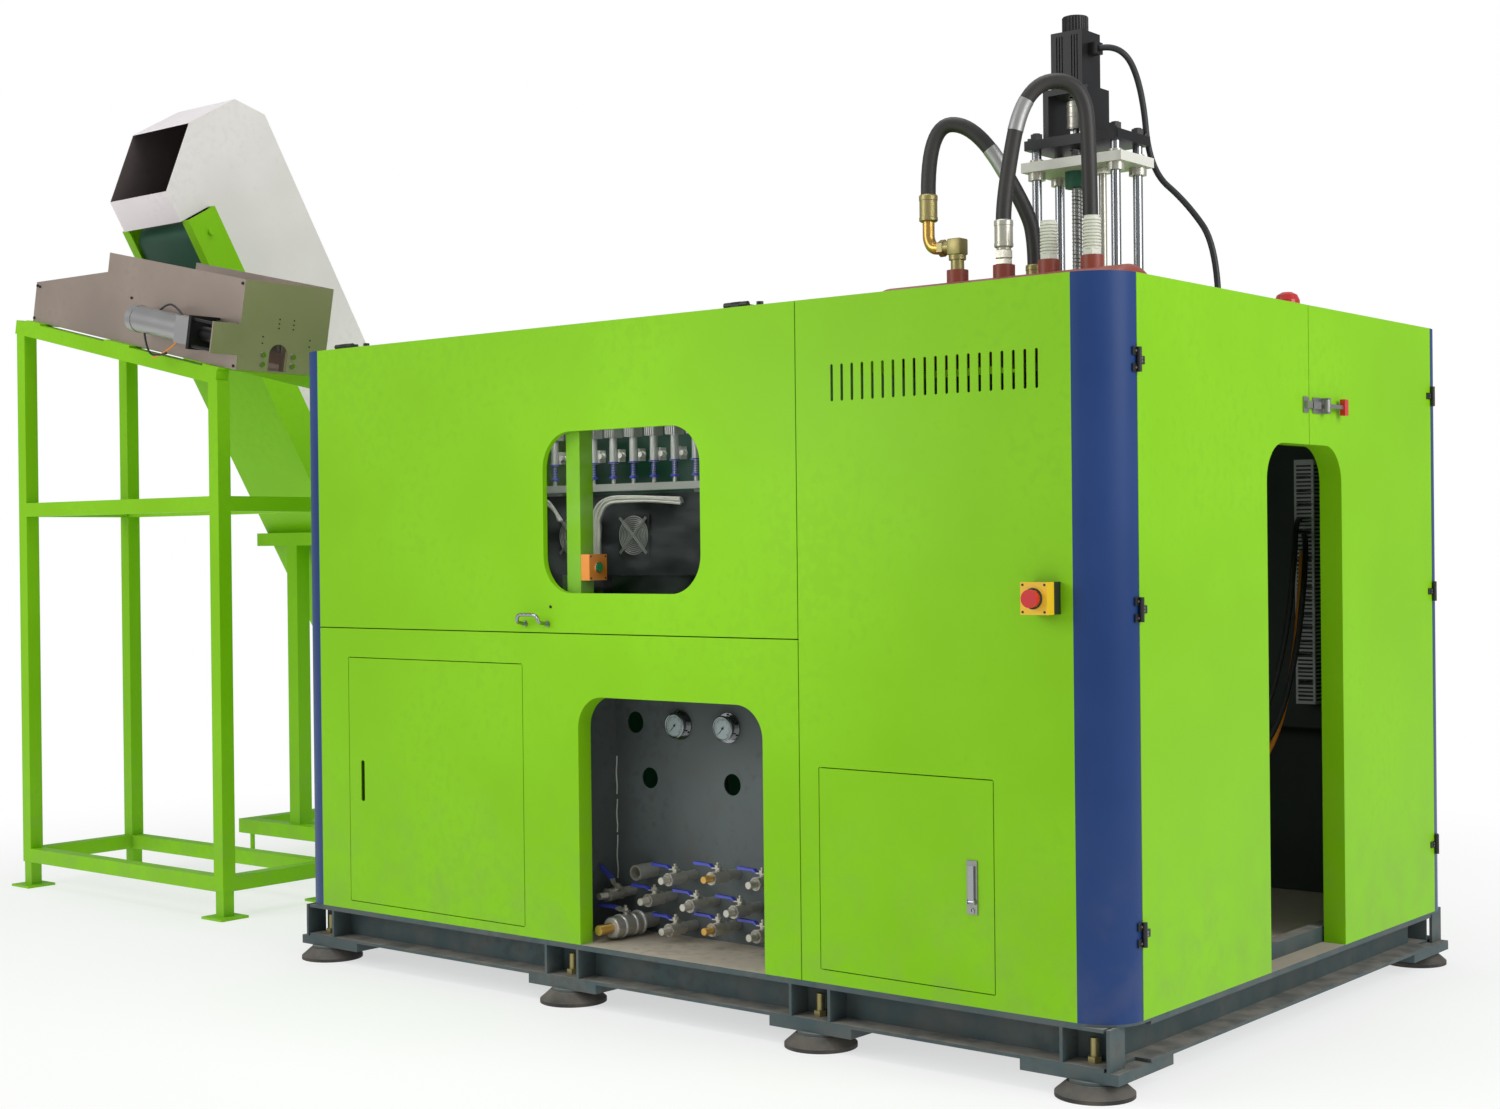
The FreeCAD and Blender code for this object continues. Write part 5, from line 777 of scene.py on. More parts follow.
@dataclass
class Studio:
    """The camera, the lights and the pale floor of a product photograph."""

    yaw: float = 39.38
    pitch: float = -0.27
    roll: float = -0.63
    place: Vector = Vector((4.59275, -5.1025, 1.224))
    lens: float = 49.92

    def camera(self) -> None:
        """Set the camera where the photographer stood, at chest height off the right corner."""
        yaw, pitch, roll = (math.radians(part) for part in (self.yaw, self.pitch, self.roll))
        ahead = Vector((-math.sin(yaw) * math.cos(pitch), math.cos(yaw) * math.cos(pitch),
                        math.sin(pitch)))
        right = Vector((math.cos(yaw), math.sin(yaw), 0.0))
        upward = right.cross(ahead)
        across = right * math.cos(roll) + upward * math.sin(roll)
        above = upward * math.cos(roll) - right * math.sin(roll)
        data = bpy.data.cameras.new("camera")
        data.lens = self.lens
        data.sensor_width = 36.0
        seat = bpy.data.objects.new("camera", data)
        columns = Matrix((across, above, -ahead)).transposed()
        seat.matrix_world = Matrix.Translation(self.place) @ columns.to_4x4()
        bpy.context.scene.collection.objects.link(seat)
        bpy.context.scene.camera = seat

    def _lamp(self, name: str, place: Sequence[float], size: float, watts: float,
              aim: Sequence[float] = (0.0, 0.0, 1.0)) -> None:
        """Hang one soft square lamp.

        Args:
            name: The lamp's name.
            place: Where it hangs, in metres.
            size: The side of its face.
            watts: Its power.
            aim: The point that it faces.
        """
        data = bpy.data.lights.new(name, "AREA")
        data.shape = "SQUARE"
        data.size = size
        data.energy = watts
        lamp = bpy.data.objects.new(name, data)
        lamp.location = place
        lamp.rotation_euler = (Vector(aim) - Vector(place)).to_track_quat("-Z", "Y").to_euler()
        bpy.context.scene.collection.objects.link(lamp)

    def lights(self) -> None:
        """Hang the lamps and the white surround."""
        self._lamp("front_lamp", (-3.2, -7.3, 4.0), 4.0, 200.0, (-0.9, -0.5, 1.0))
        self._lamp("side_lamp", (7.0, -0.5, 3.6), 3.5, 185.0, (1.5, 0.2, 1.0))
        self._lamp("top_lamp", (0.0, -0.5, 7.5), 5.0, 175.0)
        self._lamp("window_lamp", spot(-1900.0, 160.0, 1690.0), 0.35, 1.4,
                   spot(-1850.0, 480.0, 1330.0))
        self._lamp("niche_lamp", spot(-1310.0, -900.0, 1500.0), 0.5, 3.0,
                   spot(-1310.0, 200.0, 420.0))
        world = bpy.data.worlds.new("surround")
        world.use_nodes = True
        nodes = Nodes(world.node_tree)
        camera, through = (nodes.add("ShaderNodeLightPath", {}, {}, ray)
                           for ray in ("Is Camera Ray", "Is Transmission Ray"))
        seen = nodes.add("ShaderNodeMath", {"operation": "MAXIMUM"}, {0: camera, 1: through})
        fill = nodes.add("ShaderNodeBackground", {}, {"Color": (0.95, 0.97, 1.0),
                                                      "Strength": 0.46})
        white = nodes.add("ShaderNodeBackground", {}, {"Color": WHITE, "Strength": 1.0})
        nodes.feed(nodes.tree.nodes.new("ShaderNodeOutputWorld"), 0,
                   nodes.add("ShaderNodeMixShader", {}, {0: seen, 1: fill, 2: white}))
        bpy.context.scene.world = world
        bpy.context.scene.view_settings.view_transform = "Standard"

    def floor(self) -> None:
        """Lay a pale round floor that runs out into the white surround."""
        mesh = bmesh.new()
        bmesh.ops.create_circle(mesh, cap_ends=True, segments=96, radius=11.0)
        data = bpy.data.meshes.new("floor")
        mesh.to_mesh(data)
        mesh.free()
        graph = Graph("floor_paint")
        away = graph.add("ShaderNodeVectorMath", {"operation": "LENGTH"}, {0: graph.place}, 1)
        graph.close({"Base Color": (0.93, 0.93, 0.93), "Roughness": 0.9})
        plain = graph.add("ShaderNodeEmission", {}, {"Color": WHITE})
        graph.feed(graph.output, 0, graph.add("ShaderNodeMixShader", {}, {
            0: away.held(1.5, 4.5, 0.6, 1.0), 1: Wire(graph, graph.surface.outputs[0]), 2: plain}))
        data.materials.append(graph.material)
        floor = bpy.data.objects.new("floor", data)
        bpy.context.scene.collection.objects.link(floor)


# --------------------------------------------------------------------------- sub-assemblies

TILT = math.radians(12.0)
CLIMB = math.radians(30.0)
SLOPE = Matrix(((math.cos(TILT), 0.0, math.sin(TILT), -4615.0), (0.0, 1.0, 0.0, 0.0),
                (-math.sin(TILT), 0.0, math.cos(TILT), 2073.0), (0.0, 0.0, 0.0, 1.0)))
RAMP = Matrix(((1.0, 0.0, 0.0, 0.0), (0.0, math.cos(CLIMB), -math.sin(CLIMB), 569.0),
               (0.0, math.sin(CLIMB), math.cos(CLIMB), 2397.0), (0.0, 0.0, 0.0, 1.0)))


def on(sloping: Matrix, *places: Sequence[float]) -> list[Vector]:
    """Turn places in a sloping frame into the model frame."""
    return [spot(*(sloping @ Vector(place))) for place in places]


def turned(x: float, y: float, z: float, degrees: float) -> Matrix:
    """Give a frame at a place, turned about Y."""
    return Matrix.Translation((x, y, z)) @ Matrix.Rotation(math.radians(degrees), 4, "Y")


@dataclass(frozen=True)
class Cord:
    """A hose or cable that runs on a smooth quadratic spline."""

    node: str
    points: tuple[tuple[float, float, float], ...]
    diameter: float
    stiffness: str
    samples: int = 400
    sleeve: float = 0.0008

    def line(self) -> list[Vector]:
        """Sample the centreline.

        Returns:
            Places in the model frame.
        """
        places = [spot(*point) for point in self.points]
        joints = [places[0], *((a + b) / 2 for a, b in zip(places[1:-2], places[2:-1])),
                  places[-1]]
        spans = len(joints) - 1
        full = []
        for first, middle, last in zip(joints, places[1:-1], joints[1:]):
            for i in range(self.samples // spans):
                t = i * spans / self.samples
                full.append(first * (1 - t) ** 2 + middle * (2 * t * (1 - t)) + last * t ** 2)
        return [*full, joints[-1]]

    def length(self) -> float:
        """Give the length of the centreline in metres."""
        line = self.line()
        return sum((b - a).length for a, b in zip(line, line[1:]))

    def lay(self, cover: str) -> None:
        """Lay the cord in place of its plain solid.

        Args:
            cover: Its finish.
        """
        route = [spot(*point) for point in self.points]
        piece = tube(self.node + "_cord", route, self.diameter / 2, cover)
        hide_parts(self.node)
        self.length()

    def band(self, start: float, end: float) -> None:
        """Wrap a thin metal sleeve round part of the cord.

        Args:
            start: The share of the length where it starts.
            end: The share where it ends.
        """
        line = self.line()
        count = len(line) - 1
        part = line[round(start * count):round(end * count) + 1]
        tube(self.node + "_band", part[::6], self.diameter / 2 + self.sleeve, "aluminium")


class Assembly:
    """A group of pieces that belong together."""

    def build(self) -> None:
        """Dress the carried-over solids and add the small pieces."""
        raise NotImplementedError


@dataclass
class Cabinet(Assembly):
    """Base, mounts, frame, panels, doors, hinges and their hardware."""

    deck: float = 165.0
    rubber_top: float = 33.5
    mount_cap_top: float = 41.0
    sill_top: float = 207.0
    sill_left: float = -98.0
    doorway_back: tuple[float, ...] = (-702.0, -106.0, 1700.0, 664.0, 1666.0)
    rear_skin: tuple[float, float] = (1850.0, 1903.5)
    door_handle: tuple[float, float] = (1010.0, 1050.0)
    lugs: tuple[float, float] = (-1080.0, -2590.0)
    lug_foot: float = 1813.0
    lug_half: float = 14.0
    keeper: tuple[float, float, float] = (900.0, 1520.0, 1600.0)
    skin: float = 0.2
    grip_start: float = 1157.0
    lens_foot: float = 1829.5
    hinge_feet: tuple[float, ...] = (328.0, 1044.0, 1595.0)
    hinge_face: float = 4.6
    duct_front: tuple[float, float] = (-364.0, 1756.8)
    duct_side: tuple[float, float] = (-333.8, 1787.0)
    slot_levels: tuple[float, ...] = tuple(752.0 + 11.6 * i for i in range(60))
    slot: tuple[float, float, float] = (0.046, 0.0012, 0.0052)
    loop: tuple[tuple[float, float, float], ...] = (
        (-310.0, 1650.0, 1228.0), (-238.0, 1480.0, 1110.0), (-236.0, 1420.0, 900.0),
        (-268.0, 1350.0, 680.0), (-330.0, 1240.0, 600.0), (-352.0, 1080.0, 650.0))

    def build(self) -> None:
        """Dress the cabinet and add its screws."""
        dress("base_frame", "base_paint", ("sill_dust", lambda c: c.z > self.deck - 0.4))
        dress("levelling_mounts", "zinc", ("rubber", lambda c: c.z < self.rubber_top),
              ("base_paint", lambda c: c.z < self.mount_cap_top))
        left, right, near, low, high = self.doorway_back
        # The frame's faces behind the side doorway get the dark paint: painted shade inside the
        # cabinet.
        dress("cabinet_frame", "lime_frame",
              ("base_paint", lambda c: c.z < self.sill_top and c.x > self.sill_left),
              ("inner_painted_shade", lambda c: c.y > near and low < c.z < high and left < c.x < right))
        # The rear panel's inner skin gets the dark paint: painted shade inside the cabinet.
        dress("end_and_rear_panels", "lime_paint",
              ("inner_painted_shade", lambda c: self.rear_skin[0] < c.y < self.rear_skin[1]))
        dress("lift_door", "lime_paint",
              ("chrome", lambda c: c.y < -1 and self.door_handle[0] < c.z < self.door_handle[1]),
              ("black_oxide", self._is_lug))
        dress("right_access_door", "lime_paint", ("steel", lambda c: c.y < -0.5))
        side, foot, top = self.keeper
        for node in ("side_door_front", "side_door_rear"):
            dress(node, "lime_paint",
                  ("steel", lambda c: c.x > self.skin and foot < c.z < top and c.y > side),
                  ("black_plastic", lambda c: c.x > self.skin))
        dress("toggle_lever", "steel", ("red_plastic", lambda c: c.y > self.grip_start))
        dress("beacon", "black_plastic", ("red_plastic", lambda c: c.z > self.lens_foot))
        for cover, nodes in {
                "lime_paint": ("front_lower_panel", "front_right_panel", "roof_panel",
                               "left_access_door"),
                "blue_paint": ("corner_columns",), "clear_sheet": ("lift_door_window",),
                "chrome": ("latch_handle",), "black_plastic": ("hinge_leaves",),
                "steel": ("toggle_latch_base",), "duct_plastic": ("cable_duct",),
                "housing_paint": ("mould_clamp_frame",)}.items():
            for node in nodes:
                dress(node, cover)
        self._hinge_screws()
        studs("window_screw", [spot(-1715.0, -0.5, 1063.0)], FRONT, 0.004, 0.003, "black_oxide",
              "lift_door_unit")
        self._latch()
        self._duct()

    def _is_lug(self, centre: Vector) -> bool:
        """Tell whether a face of the lift door is on one of its hinge lugs."""
        aside = min(abs(centre.x - lug) for lug in self.lugs)
        return centre.z > self.lug_foot and aside < self.lug_half

    def _hinge_screws(self) -> None:
        """Set two screws in every leaf of the side hinges."""
        for label, axis, inner in (("front", 105.0, 1.0), ("rear", 1800.0, -1.0)):
            for leaf, reach, lifts, body in (
                    ("door", 15.0, (24.0, 31.0), f"{label}_side_unit"),
                    ("post", -11.0, (9.0, 46.0), "machine")):
                heads = [spot(self.hinge_face, axis + inner * reach, foot + lift)
                         for foot in self.hinge_feet for lift in lifts]
                studs(f"hinge_screws_{label}_{leaf}", heads, RIGHT, 0.0026, 0.003, "steel", body)

    def _latch(self) -> None:
        """Set the key's barrel and its slot into the latch."""
        key = Shape().lathe((-375.0, -3.0, 386.0), FRONT, [(0, 5.5), (1.6, 5.5), (2.2, 5.0)], 20)
        key.finish("latch_key", "chrome", "right_access_unit")
        slot = Shape().block((-376.0, -5.6, 382.5), (-374.0, -4.8, 389.5))
        slot.finish("latch_key_slot", "black_oxide", "right_access_unit")

    def _duct(self) -> None:
        """Slot the cable duct and hang three cables from it to the lower platen."""
        wide, thick, tall = self.slot
        for label, (x, y), size in (("front", self.duct_front, (wide, thick, tall)),
                                    ("side", self.duct_side, (thick, wide, tall))):
            blocks(f"duct_slots_{label}", [spot(x, y, z) for z in self.slot_levels], size,
                   "black_plastic")
        for label, across, lift, cover in (("outer", 0.0, 0.0, "cable"),
                                           ("inner", -30.0, 46.0, "cable"),
                                           ("orange", -13.0, -52.0, "orange_plastic")):
            route = [spot(self.duct_front[0] + across / 2, 1757.0, 1235.0 + lift),
                     *(spot(x + across, y, z + lift) for x, y, z in self.loop),
                     spot(-352.0 + across, 968.0, 760.0)]
            tube(f"duct_loop_{label}", route, 0.008, cover)


@dataclass(frozen=True)
class ValveSize:
    """The sizes of a ball valve: places along Y from back to front, and radii."""

    back: float
    front: float
    nose: float
    stem: float
    stem_rise: float
    hexagon: float
    nipple: float
    bore: float
    hub: float
    ridges: int


SMALL = ValveSize(212.0, 152.0, 122.0, 182.0, 36.0, 18.5, 14.0, 9.0, 16.0, 8)
BIG = ValveSize(202.0, 92.0, 40.0, 147.0, 50.0, 30.5, 24.0, 13.0, 30.0, 12)


@dataclass(frozen=True)
class Valve:
    """One ball valve's place and kind."""

    number: int
    x: float
    z: float
    size: ValveSize = SMALL
    copper: bool = False


@dataclass
class Niche(Assembly):
    """The recess with the ball valves and the gauges."""

    valves: tuple[Valve, ...] = (
        Valve(1, -1440, 335), Valve(2, -1290, 352, copper=True), Valve(3, -1140, 352),
        Valve(4, -1665, 272), Valve(5, -1515, 272), Valve(6, -1365, 272),
        Valve(7, -1215, 272), Valve(8, -1590, 200, BIG, True), Valve(9, -1440, 200),
        Valve(10, -1290, 217, copper=True), Valve(11, -1140, 217))
    lying_stem: int = 4
    floor_dust: float = 172.0
    pipe_front: float = 212.5
    dial_front: float = 236.5
    dial_z: float = 737.0
    dial_x: tuple[float, float] = (-1485.0, -1315.0)
    scale_marks: int = 24

    def build(self) -> None:
        """Dress the recess and add nuts, threads, dials and sealant."""
        dress("valve_niche", "niche_paint", ("sill_dust", lambda c: c.z < self.floor_dust))
        dress("ball_valves", "nickel", ("brass", self._is_copper),
              ("pipe_paint", lambda c: c.y > self.pipe_front))
        dress("pressure_gauges", "chrome", ("dial_face", lambda c: c.y < self.dial_front))
        for valve in self.valves:
            dress(f"valve_lever_{valve.number:02d}", "nickel",
                  ("blue_sleeve", lambda c, edge=valve.x - valve.size.hub: c.x < edge))
        self._valve_rings()
        self._stem_nuts()
        for label, x in zip(("left", "right"), self.dial_x):
            self._gauge(label, x)
        self._sealant()

    def _is_copper(self, centre: Vector) -> bool:
        """Tell whether a face is on a nipple of red brass."""
        return any(valve.copper and centre.y < valve.size.front + 0.5 and
                   math.hypot(centre.x - valve.x, centre.z - valve.z) < valve.size.nipple
                   for valve in self.valves)

    def _valve_rings(self) -> None:
        """Put hexagons on the valve bodies, threads on the nipples and bands on the big one."""
        hexagons = Shape()
        threads = {"nickel": Shape(), "brass": Shape()}
        for valve in self.valves:
            size = valve.size
            hexagon = chamfered(12.0, 1.5, size.hexagon * 0.93, size.hexagon)
            for near in (size.back, size.front + 12.0):
                hexagons.lathe((valve.x, near, valve.z), FRONT, hexagon, 6)
            threads["brass" if valve.copper else "nickel"].lathe(
                (valve.x, size.front, valve.z), FRONT,
                ridged(1.0, size.front - size.nose - 1.0, size.bore + 0.1, size.bore + 1.0,
                       size.ridges), 20)
        bands = Shape()
        for near, radius in ((200.0, 33.5), (170.0, 32.0), (128.0, 32.0), (98.0, 26.5)):
            bands.lathe((-1590.0, near, 200.0), FRONT,
                        chamfered(9.0, 2.0, radius - 2.0, radius), 32)
        bands.finish("big_valve_bands", "bright_wire")
        hexagons.finish("valve_hexagons", "nickel")
        threads["brass"].finish("valve_threads_brass", "brass")
        threads["nickel"].finish("valve_threads", "nickel")

    def _stem_nuts(self) -> None:
        """Put a nut on every upright valve stem."""
        for valve in self.valves:
            if valve.number == self.lying_stem:
                continue
            foot = valve.z + valve.size.stem_rise - 1.0
            nut = Shape().lathe((valve.x, valve.size.stem, foot), UP,
                                [(0, 4.6), (3.6, 4.6), (4.4, 4.0)], 6)
            nut.finish(f"stem_nut_{valve.number:02d}", "nickel", f"lever_unit_{valve.number:02d}")

    def _gauge(self, label: str, x: float) -> None:
        """Give a gauge a rim, screws, a scale and a needle.

        Args:
            label: Its side.
            x: Its middle.
        """
        z = self.dial_z
        rings(f"gauge_rim_{label}", spot(x, 236.0, z), FRONT, 2, 0.0325, -0.0012, 0.0012, 0.0021,
              "chrome")
        holes = [spot(x + 36.0 * math.cos(turn), 257.5, z + 36.0 * math.sin(turn))
                 for turn in (math.radians(part) for part in (90, 210, 330))]
        studs(f"gauge_screws_{label}", holes, FRONT, 0.0026, 0.004, "black_oxide", sides=12)
        marks = Shape()
        for i in range(self.scale_marks + 1):
            marks.block((22.5 if i % 4 else 19.5, -0.4, -0.35), (26.5, 0.4, 0.35),
                        placed=turned(x, 235.6, z, 270.0 * i / self.scale_marks - 225.0))
        marks.block((-7.0, -0.5, -0.7), (20.0, 0.3, 0.7), 0.2, turned(x, 235.0, z, -228.0))
        marks.lathe((x, 236.0, z), FRONT, [(0, 3.4), (2.2, 3.0)], 16)
        marks.finish(f"gauge_scale_{label}", "black_plastic")

    def _sealant(self) -> None:
        """Lay the pale dashes of sealant in the left corner."""
        for i, (low, high) in enumerate(((300.0, 420.0), (428.0, 520.0), (534.0, 640.0))):
            route = [spot(-1722.0 + 2.0 * math.sin(j * 1.7), 259.0, low + (high - low) * j / 5)
                     for j in range(6)]
            tube(f"sealant_{i + 1}", route, 0.0018, "white_plastic")


@dataclass
class Controls(Assembly):
    """The stop box on the right panel and the start box in the window."""

    stop: tuple[float, float] = (-170.0, 1099.0)
    start: tuple[float, float] = (75.0, 1168.0)
    stop_box_left: float = -300.0
    stop_lid_back: float = -28.2
    start_box_right: float = -1600.0
    start_box_top: float = 1210.0

    def build(self) -> None:
        """Dress both boxes and add collars and lid screws."""
        dress("button_boxes", "yellow_plastic",
              ("orange_plastic",
               lambda c: c.x < self.start_box_right and c.z < self.start_box_top),
              ("black_plastic", lambda c: c.y > self.stop_lid_back and c.x > self.stop_box_left))
        dress("estop_button", "red_plastic")
        dress("start_button", "green_plastic")
        (x, z), (y, level) = self.stop, self.start
        heads = [spot(x + dx, -58.3, z + dz) for dx in (-28, 28) for dz in (-30, 30)]
        studs("stop_box_screws", heads, FRONT, 0.0028, 0.0014, "black_oxide", sides=12)
        heads = [spot(-1608.7, y + dy, level + dz) for dy in (-28, 28) for dz in (-29, 29)]
        studs("start_box_screws", heads, RIGHT, 0.0026, 0.0014, "black_oxide", sides=12)
        rings("start_collar", spot(-1606.0, y, level), RIGHT, 2, 0.0135, -0.0008, 0.001,
              0.0012, "chrome")
        rings("stop_collar", spot(x, -60.6, z), FRONT, 2, 0.0225, -0.001, 0.0012, 0.0014,
              "black_plastic")


@dataclass
class Oven(Assembly):
    """What shows behind the window: spindles, fans, wires and plates."""

    spindles: tuple[float, ...] = tuple(-1593.0 - 79.5 * i for i in range(8))
    spindle_y: float = 462.0
    sleeve_foot: float = 1540.5
    nose_top: float = 1406.0
    fans: tuple[tuple[str, float], ...] = (("left", -2085.0), ("right", -1842.0))
    fan_y: float = 470.0
    fan_z: float = 1255.0
    fan_half: float = 60.0
    fan_border: float = 8.0
    wire: float = 0.0042

    def build(self) -> None:
        """Dress the oven and add springs, caps, guards and wires."""
        dress("oven_housing", "housing_paint", ("inner_green", lambda c: c.y > 850))
        dress("spindle_row", "bright_wire",
              ("spindle_grey", lambda c: c.z > self.sleeve_foot or c.z < self.nose_top),
              ("white_plastic", lambda c: c.y > 469.6 and 1469 < c.z < 1507))
        self._spindles()
        for label, x in self.fans:
            dress(f"fan_{label}", "black_plastic")
            self._fan(label, x)
        self._wires()

    def _spindles(self) -> None:
        """Give each spindle its spring, blue rings, ribbed cap and connector."""
        feet = [spot(x, self.spindle_y, 1427.0) for x in self.spindles]
        helix("spindle_springs", feet, 0.0078, 0.038, 8.0, 0.0012, "blue_sleeve")
        collars = Shape()
        plugs = Shape()
        for x in self.spindles:
            collars.lathe((x, self.spindle_y, 1420.0), UP, chamfered(7.0, 1.0, 12.2, 12.7), 20)
            collars.lathe((x, self.spindle_y, 1465.5), UP, chamfered(4.0, 1.0, 15.2, 15.6), 20)
            plugs.lathe((x + 26.0, 474.0, 1488.0), FRONT,
                        [(-4, 9.0), (0, 9.0), (0, 7.2), (9, 7.2), (9, 8.0), (13, 8.0)], 20)
        collars.finish("spindle_rings", "blue_sleeve")
        plugs.finish("spindle_plugs", "white_plastic")
        ribs = [spot(x + offset, 442.6, 1554.5) for x in self.spindles
                for offset in (-16.0, -8.0, 0.0, 8.0, 16.0)]
        blocks("spindle_cap_ribs", ribs, (0.0032, 0.004, 0.027), "aluminium")

    def _fan(self, label: str, x: float) -> None:
        """Fill a fan's guard with wire rings and double arms, and edge its frame.

        Args:
            label: Its side.
            x: Its middle.
        """
        y, z, half, border = self.fan_y, self.fan_z, self.fan_half, self.fan_border
        rings(f"fan_rings_{label}", spot(x, y, z), FRONT, 9, 0.009, 0.0058, 0.0, 0.0013,
              "bright_wire")
        arms = Shape()
        for turn in (45.0, 135.0):
            for side in (-2.6, 2.6):
                arms.block((-74.0, -1.1, side - 1.1), (74.0, 1.1, side + 1.1), 0.5,
                           turned(x, y - 3.0, z, turn))
        arms.finish(f"fan_arms_{label}", "bright_wire")
        inner = half - border
        edge = Shape()
        for side in (-half, inner):
            edge.block((x + side, y, z - half), (x + side + border, y + 9.0, z + half), 1.0)
            edge.block((x - inner, y, z + side), (x + inner, y + 9.0, z + side + border))
        edge.finish(f"fan_edge_{label}", "black_plastic")

    def _wires(self) -> None:
        """Run the pale heater wires round the fans."""
        for i in range(7):
            y = 448.0 + 4.2 * (i % 3)
            z = 1366.0 - 5.0 * (i // 2)
            route = [spot(-1640.0, y, z - 8.0), spot(-1740.0, y - 3.0, z - 4.0 + i),
                     spot(-1850.0, y, z + 2.0), spot(-1925.0, y - 4.0, z),
                     spot(-1979.0 + 3.5 * i, y, z - 30.0 - 3.0 * i),
                     spot(-1985.0 + 4.5 * i, y + 2.0, 1275.0),
                     spot(-1989.0 + 5.0 * i, y, 1225.0), spot(-1981.0 + 3.0 * i, y + 4.0, 1180.0)]
            tube(f"heater_wire_{i + 1}", route, self.wire, "white_plastic")
        for i in range(4):
            y = 450.0 + 4.0 * (i % 2)
            route = [spot(-2238.0, y, 1372.0 - 4 * i), spot(-2205.0, y, 1370.0 - 5.0 * i),
                     spot(-2150.0, y, 1356.0 - 5.0 * i), spot(-2124.0 + 3.0 * i, y, 1300.0)]
            tube(f"left_heater_wire_{i + 1}", route, self.wire, "white_plastic")


@dataclass
class TopUnit(Assembly):
    """The air tank, its fittings and hoses, and the servo stretch unit."""

    low: Cord = Cord("hose_low", (
        (-771, 430, 2110), (-771, 430, 2290), (-653, 475, 2285), (-546, 546, 2060),
        (-536, 560, 1982), (-536, 560, 1922)), 0.039, "stiff")
    tall: Cord = Cord("hose_tall", (
        (-546, 430, 2022), (-546, 430, 2082), (-504, 464, 2365), (-385, 556, 2370),
        (-376, 563, 2160), (-376, 563, 1905)), 0.039, "stiff")
    servo: Cord = Cord("servo_cable", (
        (-444, 737, 2490), (-380, 737, 2490), (-372, 825, 2395), (-362, 842, 2180),
        (-255, 837, 2085), (-165, 830, 1960), (-165, 830, 1794)), 0.016, "medium")
    low_top: tuple[float, float] = (-771, 430)
    low_foot: tuple[float, float] = (-536, 560)
    tall_top: tuple[float, float] = (-376, 563)
    tall_foot: tuple[float, float] = (-546, 430)
    tank_top: float = 1900.0
    roof: float = 1645.0
    screw: tuple[float, float] = (-516.0, 737.0)
    motor_half: float = 47.0

    def build(self) -> None:
        """Lay the hoses and dress the unit."""
        self.low.lay("hose")
        self.tall.lay("hose")
        self.servo.lay("cable")
        self.low.band(0.44, 0.53)
        self.tall.band(0.27, 0.36)
        dress("air_tank", "tank_paint")
        dress("guide_posts", "chrome", ("black_oxide", lambda c: c.z > 2261))
        dress("servo_bracket", "black_oxide")
        dress("servo_motor", "black_oxide")
        dress("ball_screw", "steel", ("nickel", lambda c: c.z > 2290))
        dress("stretch_carriage", "nickel",
              ("white_plastic", lambda c: 2179 < c.z < 2206 and not self._on_nut(c)),
              ("inner_green", self._on_nut))
        self._ferrules()
        self._fittings()
        self._motor()
        self._screw()

    def _on_nut(self, centre: Vector) -> bool:
        """Tell whether a face is on the ball nut's housing."""
        x, y = self.screw
        return math.hypot(centre.x - x, centre.y - y) < 31.0 and centre.z > 2130

    def _ferrules(self) -> None:
        """Turn the crimped ferrules at both ends of the hoses."""
        for label, metal, ends in (
                ("low", "zinc", ((self.low_top, 2043, 2112), (self.low_foot, 1855, 1924))),
                ("tall", "nickel", ((self.tall_top, 1838, 1907), (self.tall_foot, 1955, 2024)))):
            ferrules = Shape()
            for place, foot, top in ends:
                ferrules.lathe((*place, foot), UP, [
                    (0, 20.0), (3, 24.0), (11, 24.0), (12, 23.0), (54, 23.0), (55, 24.0),
                    (66, 24.0), (top - foot, 22.0)], 28)
            shown = ferrules.finish(f"hose_{label}_ferrules", metal)
            if label == "low":
                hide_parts("top_fittings")

    def _fittings(self) -> None:
        """Make the bend, elbow, nuts and risers of the hoses, and the silencers."""
        bend = [spot(*place) for place in
                ((-771, 430, 2050), (-771, 430, 2020), (-771, 430, 1998), (-760, 430, 1976),
                 (-742, 430, 1972), (-722, 430, 1972))]
        tube("hose_low_bend", bend, 0.0155, "brass")
        elbow = Shape()
        elbow.lathe((-737, 430, 1972), RIGHT, chamfered(19.0, 2.0, 19.0, 22.0), 6)
        elbow.lathe((-718, 430, 1972), RIGHT, [(0, 17.0), (40, 17.0)], 24)
        elbow.block((-704, 410, 1950), (-664, 450, 1992), 4.0)
        elbow.lathe((-684, 430, self.tank_top), UP,
                    [(0, 17.0), (38, 17.0), (38, 22.0), (50, 22.0)], 24)
        elbow.finish("hose_low_elbow", "zinc")
        nuts = Shape()
        for rise, profile, sides in ((0, [(0, 16.0), (12, 16.0)], 24),
                                     (12, chamfered(16.0, 2.0, 20.0, 22.5), 6),
                                     (28, chamfered(22.0, 2.0, 20.0, 23.5), 6),
                                     (50, [(0, 18.0), (6, 18.0)], 24)):
            nuts.lathe((*self.tall_foot, self.tank_top + rise), UP, profile, sides)
        nuts.finish("hose_tall_nuts", "nickel")
        risers = Shape()
        for (x, y), top in ((self.low_foot, 1856), (self.tall_top, 1840)):
            risers.lathe((x, y, self.roof), UP, [(0, 20.0), (top - self.roof, 20.0)], 24)
            risers.block((x - 26, y - 26, self.roof), (x + 26, y + 26, self.roof + 80), 3.0)
        risers.finish("hose_risers", "steel")
        for label, x in (("left", -416.0), ("right", -296.0)):
            silencer = Shape()
            silencer.lathe((x, 430, self.tank_top), UP, [
                (0, 15.0), (12, 15.0), (12, 21.0), (14, 24.0), (26, 24.0), (28, 21.0)], 6)
            silencer.lathe((x, 430, self.tank_top + 26), UP,
                           [*ridged(0.0, 78.0, 17.5, 22.0, 10), (82.0, 20.0)], 24)
            silencer.finish(f"silencer_{label}", "white_plastic")

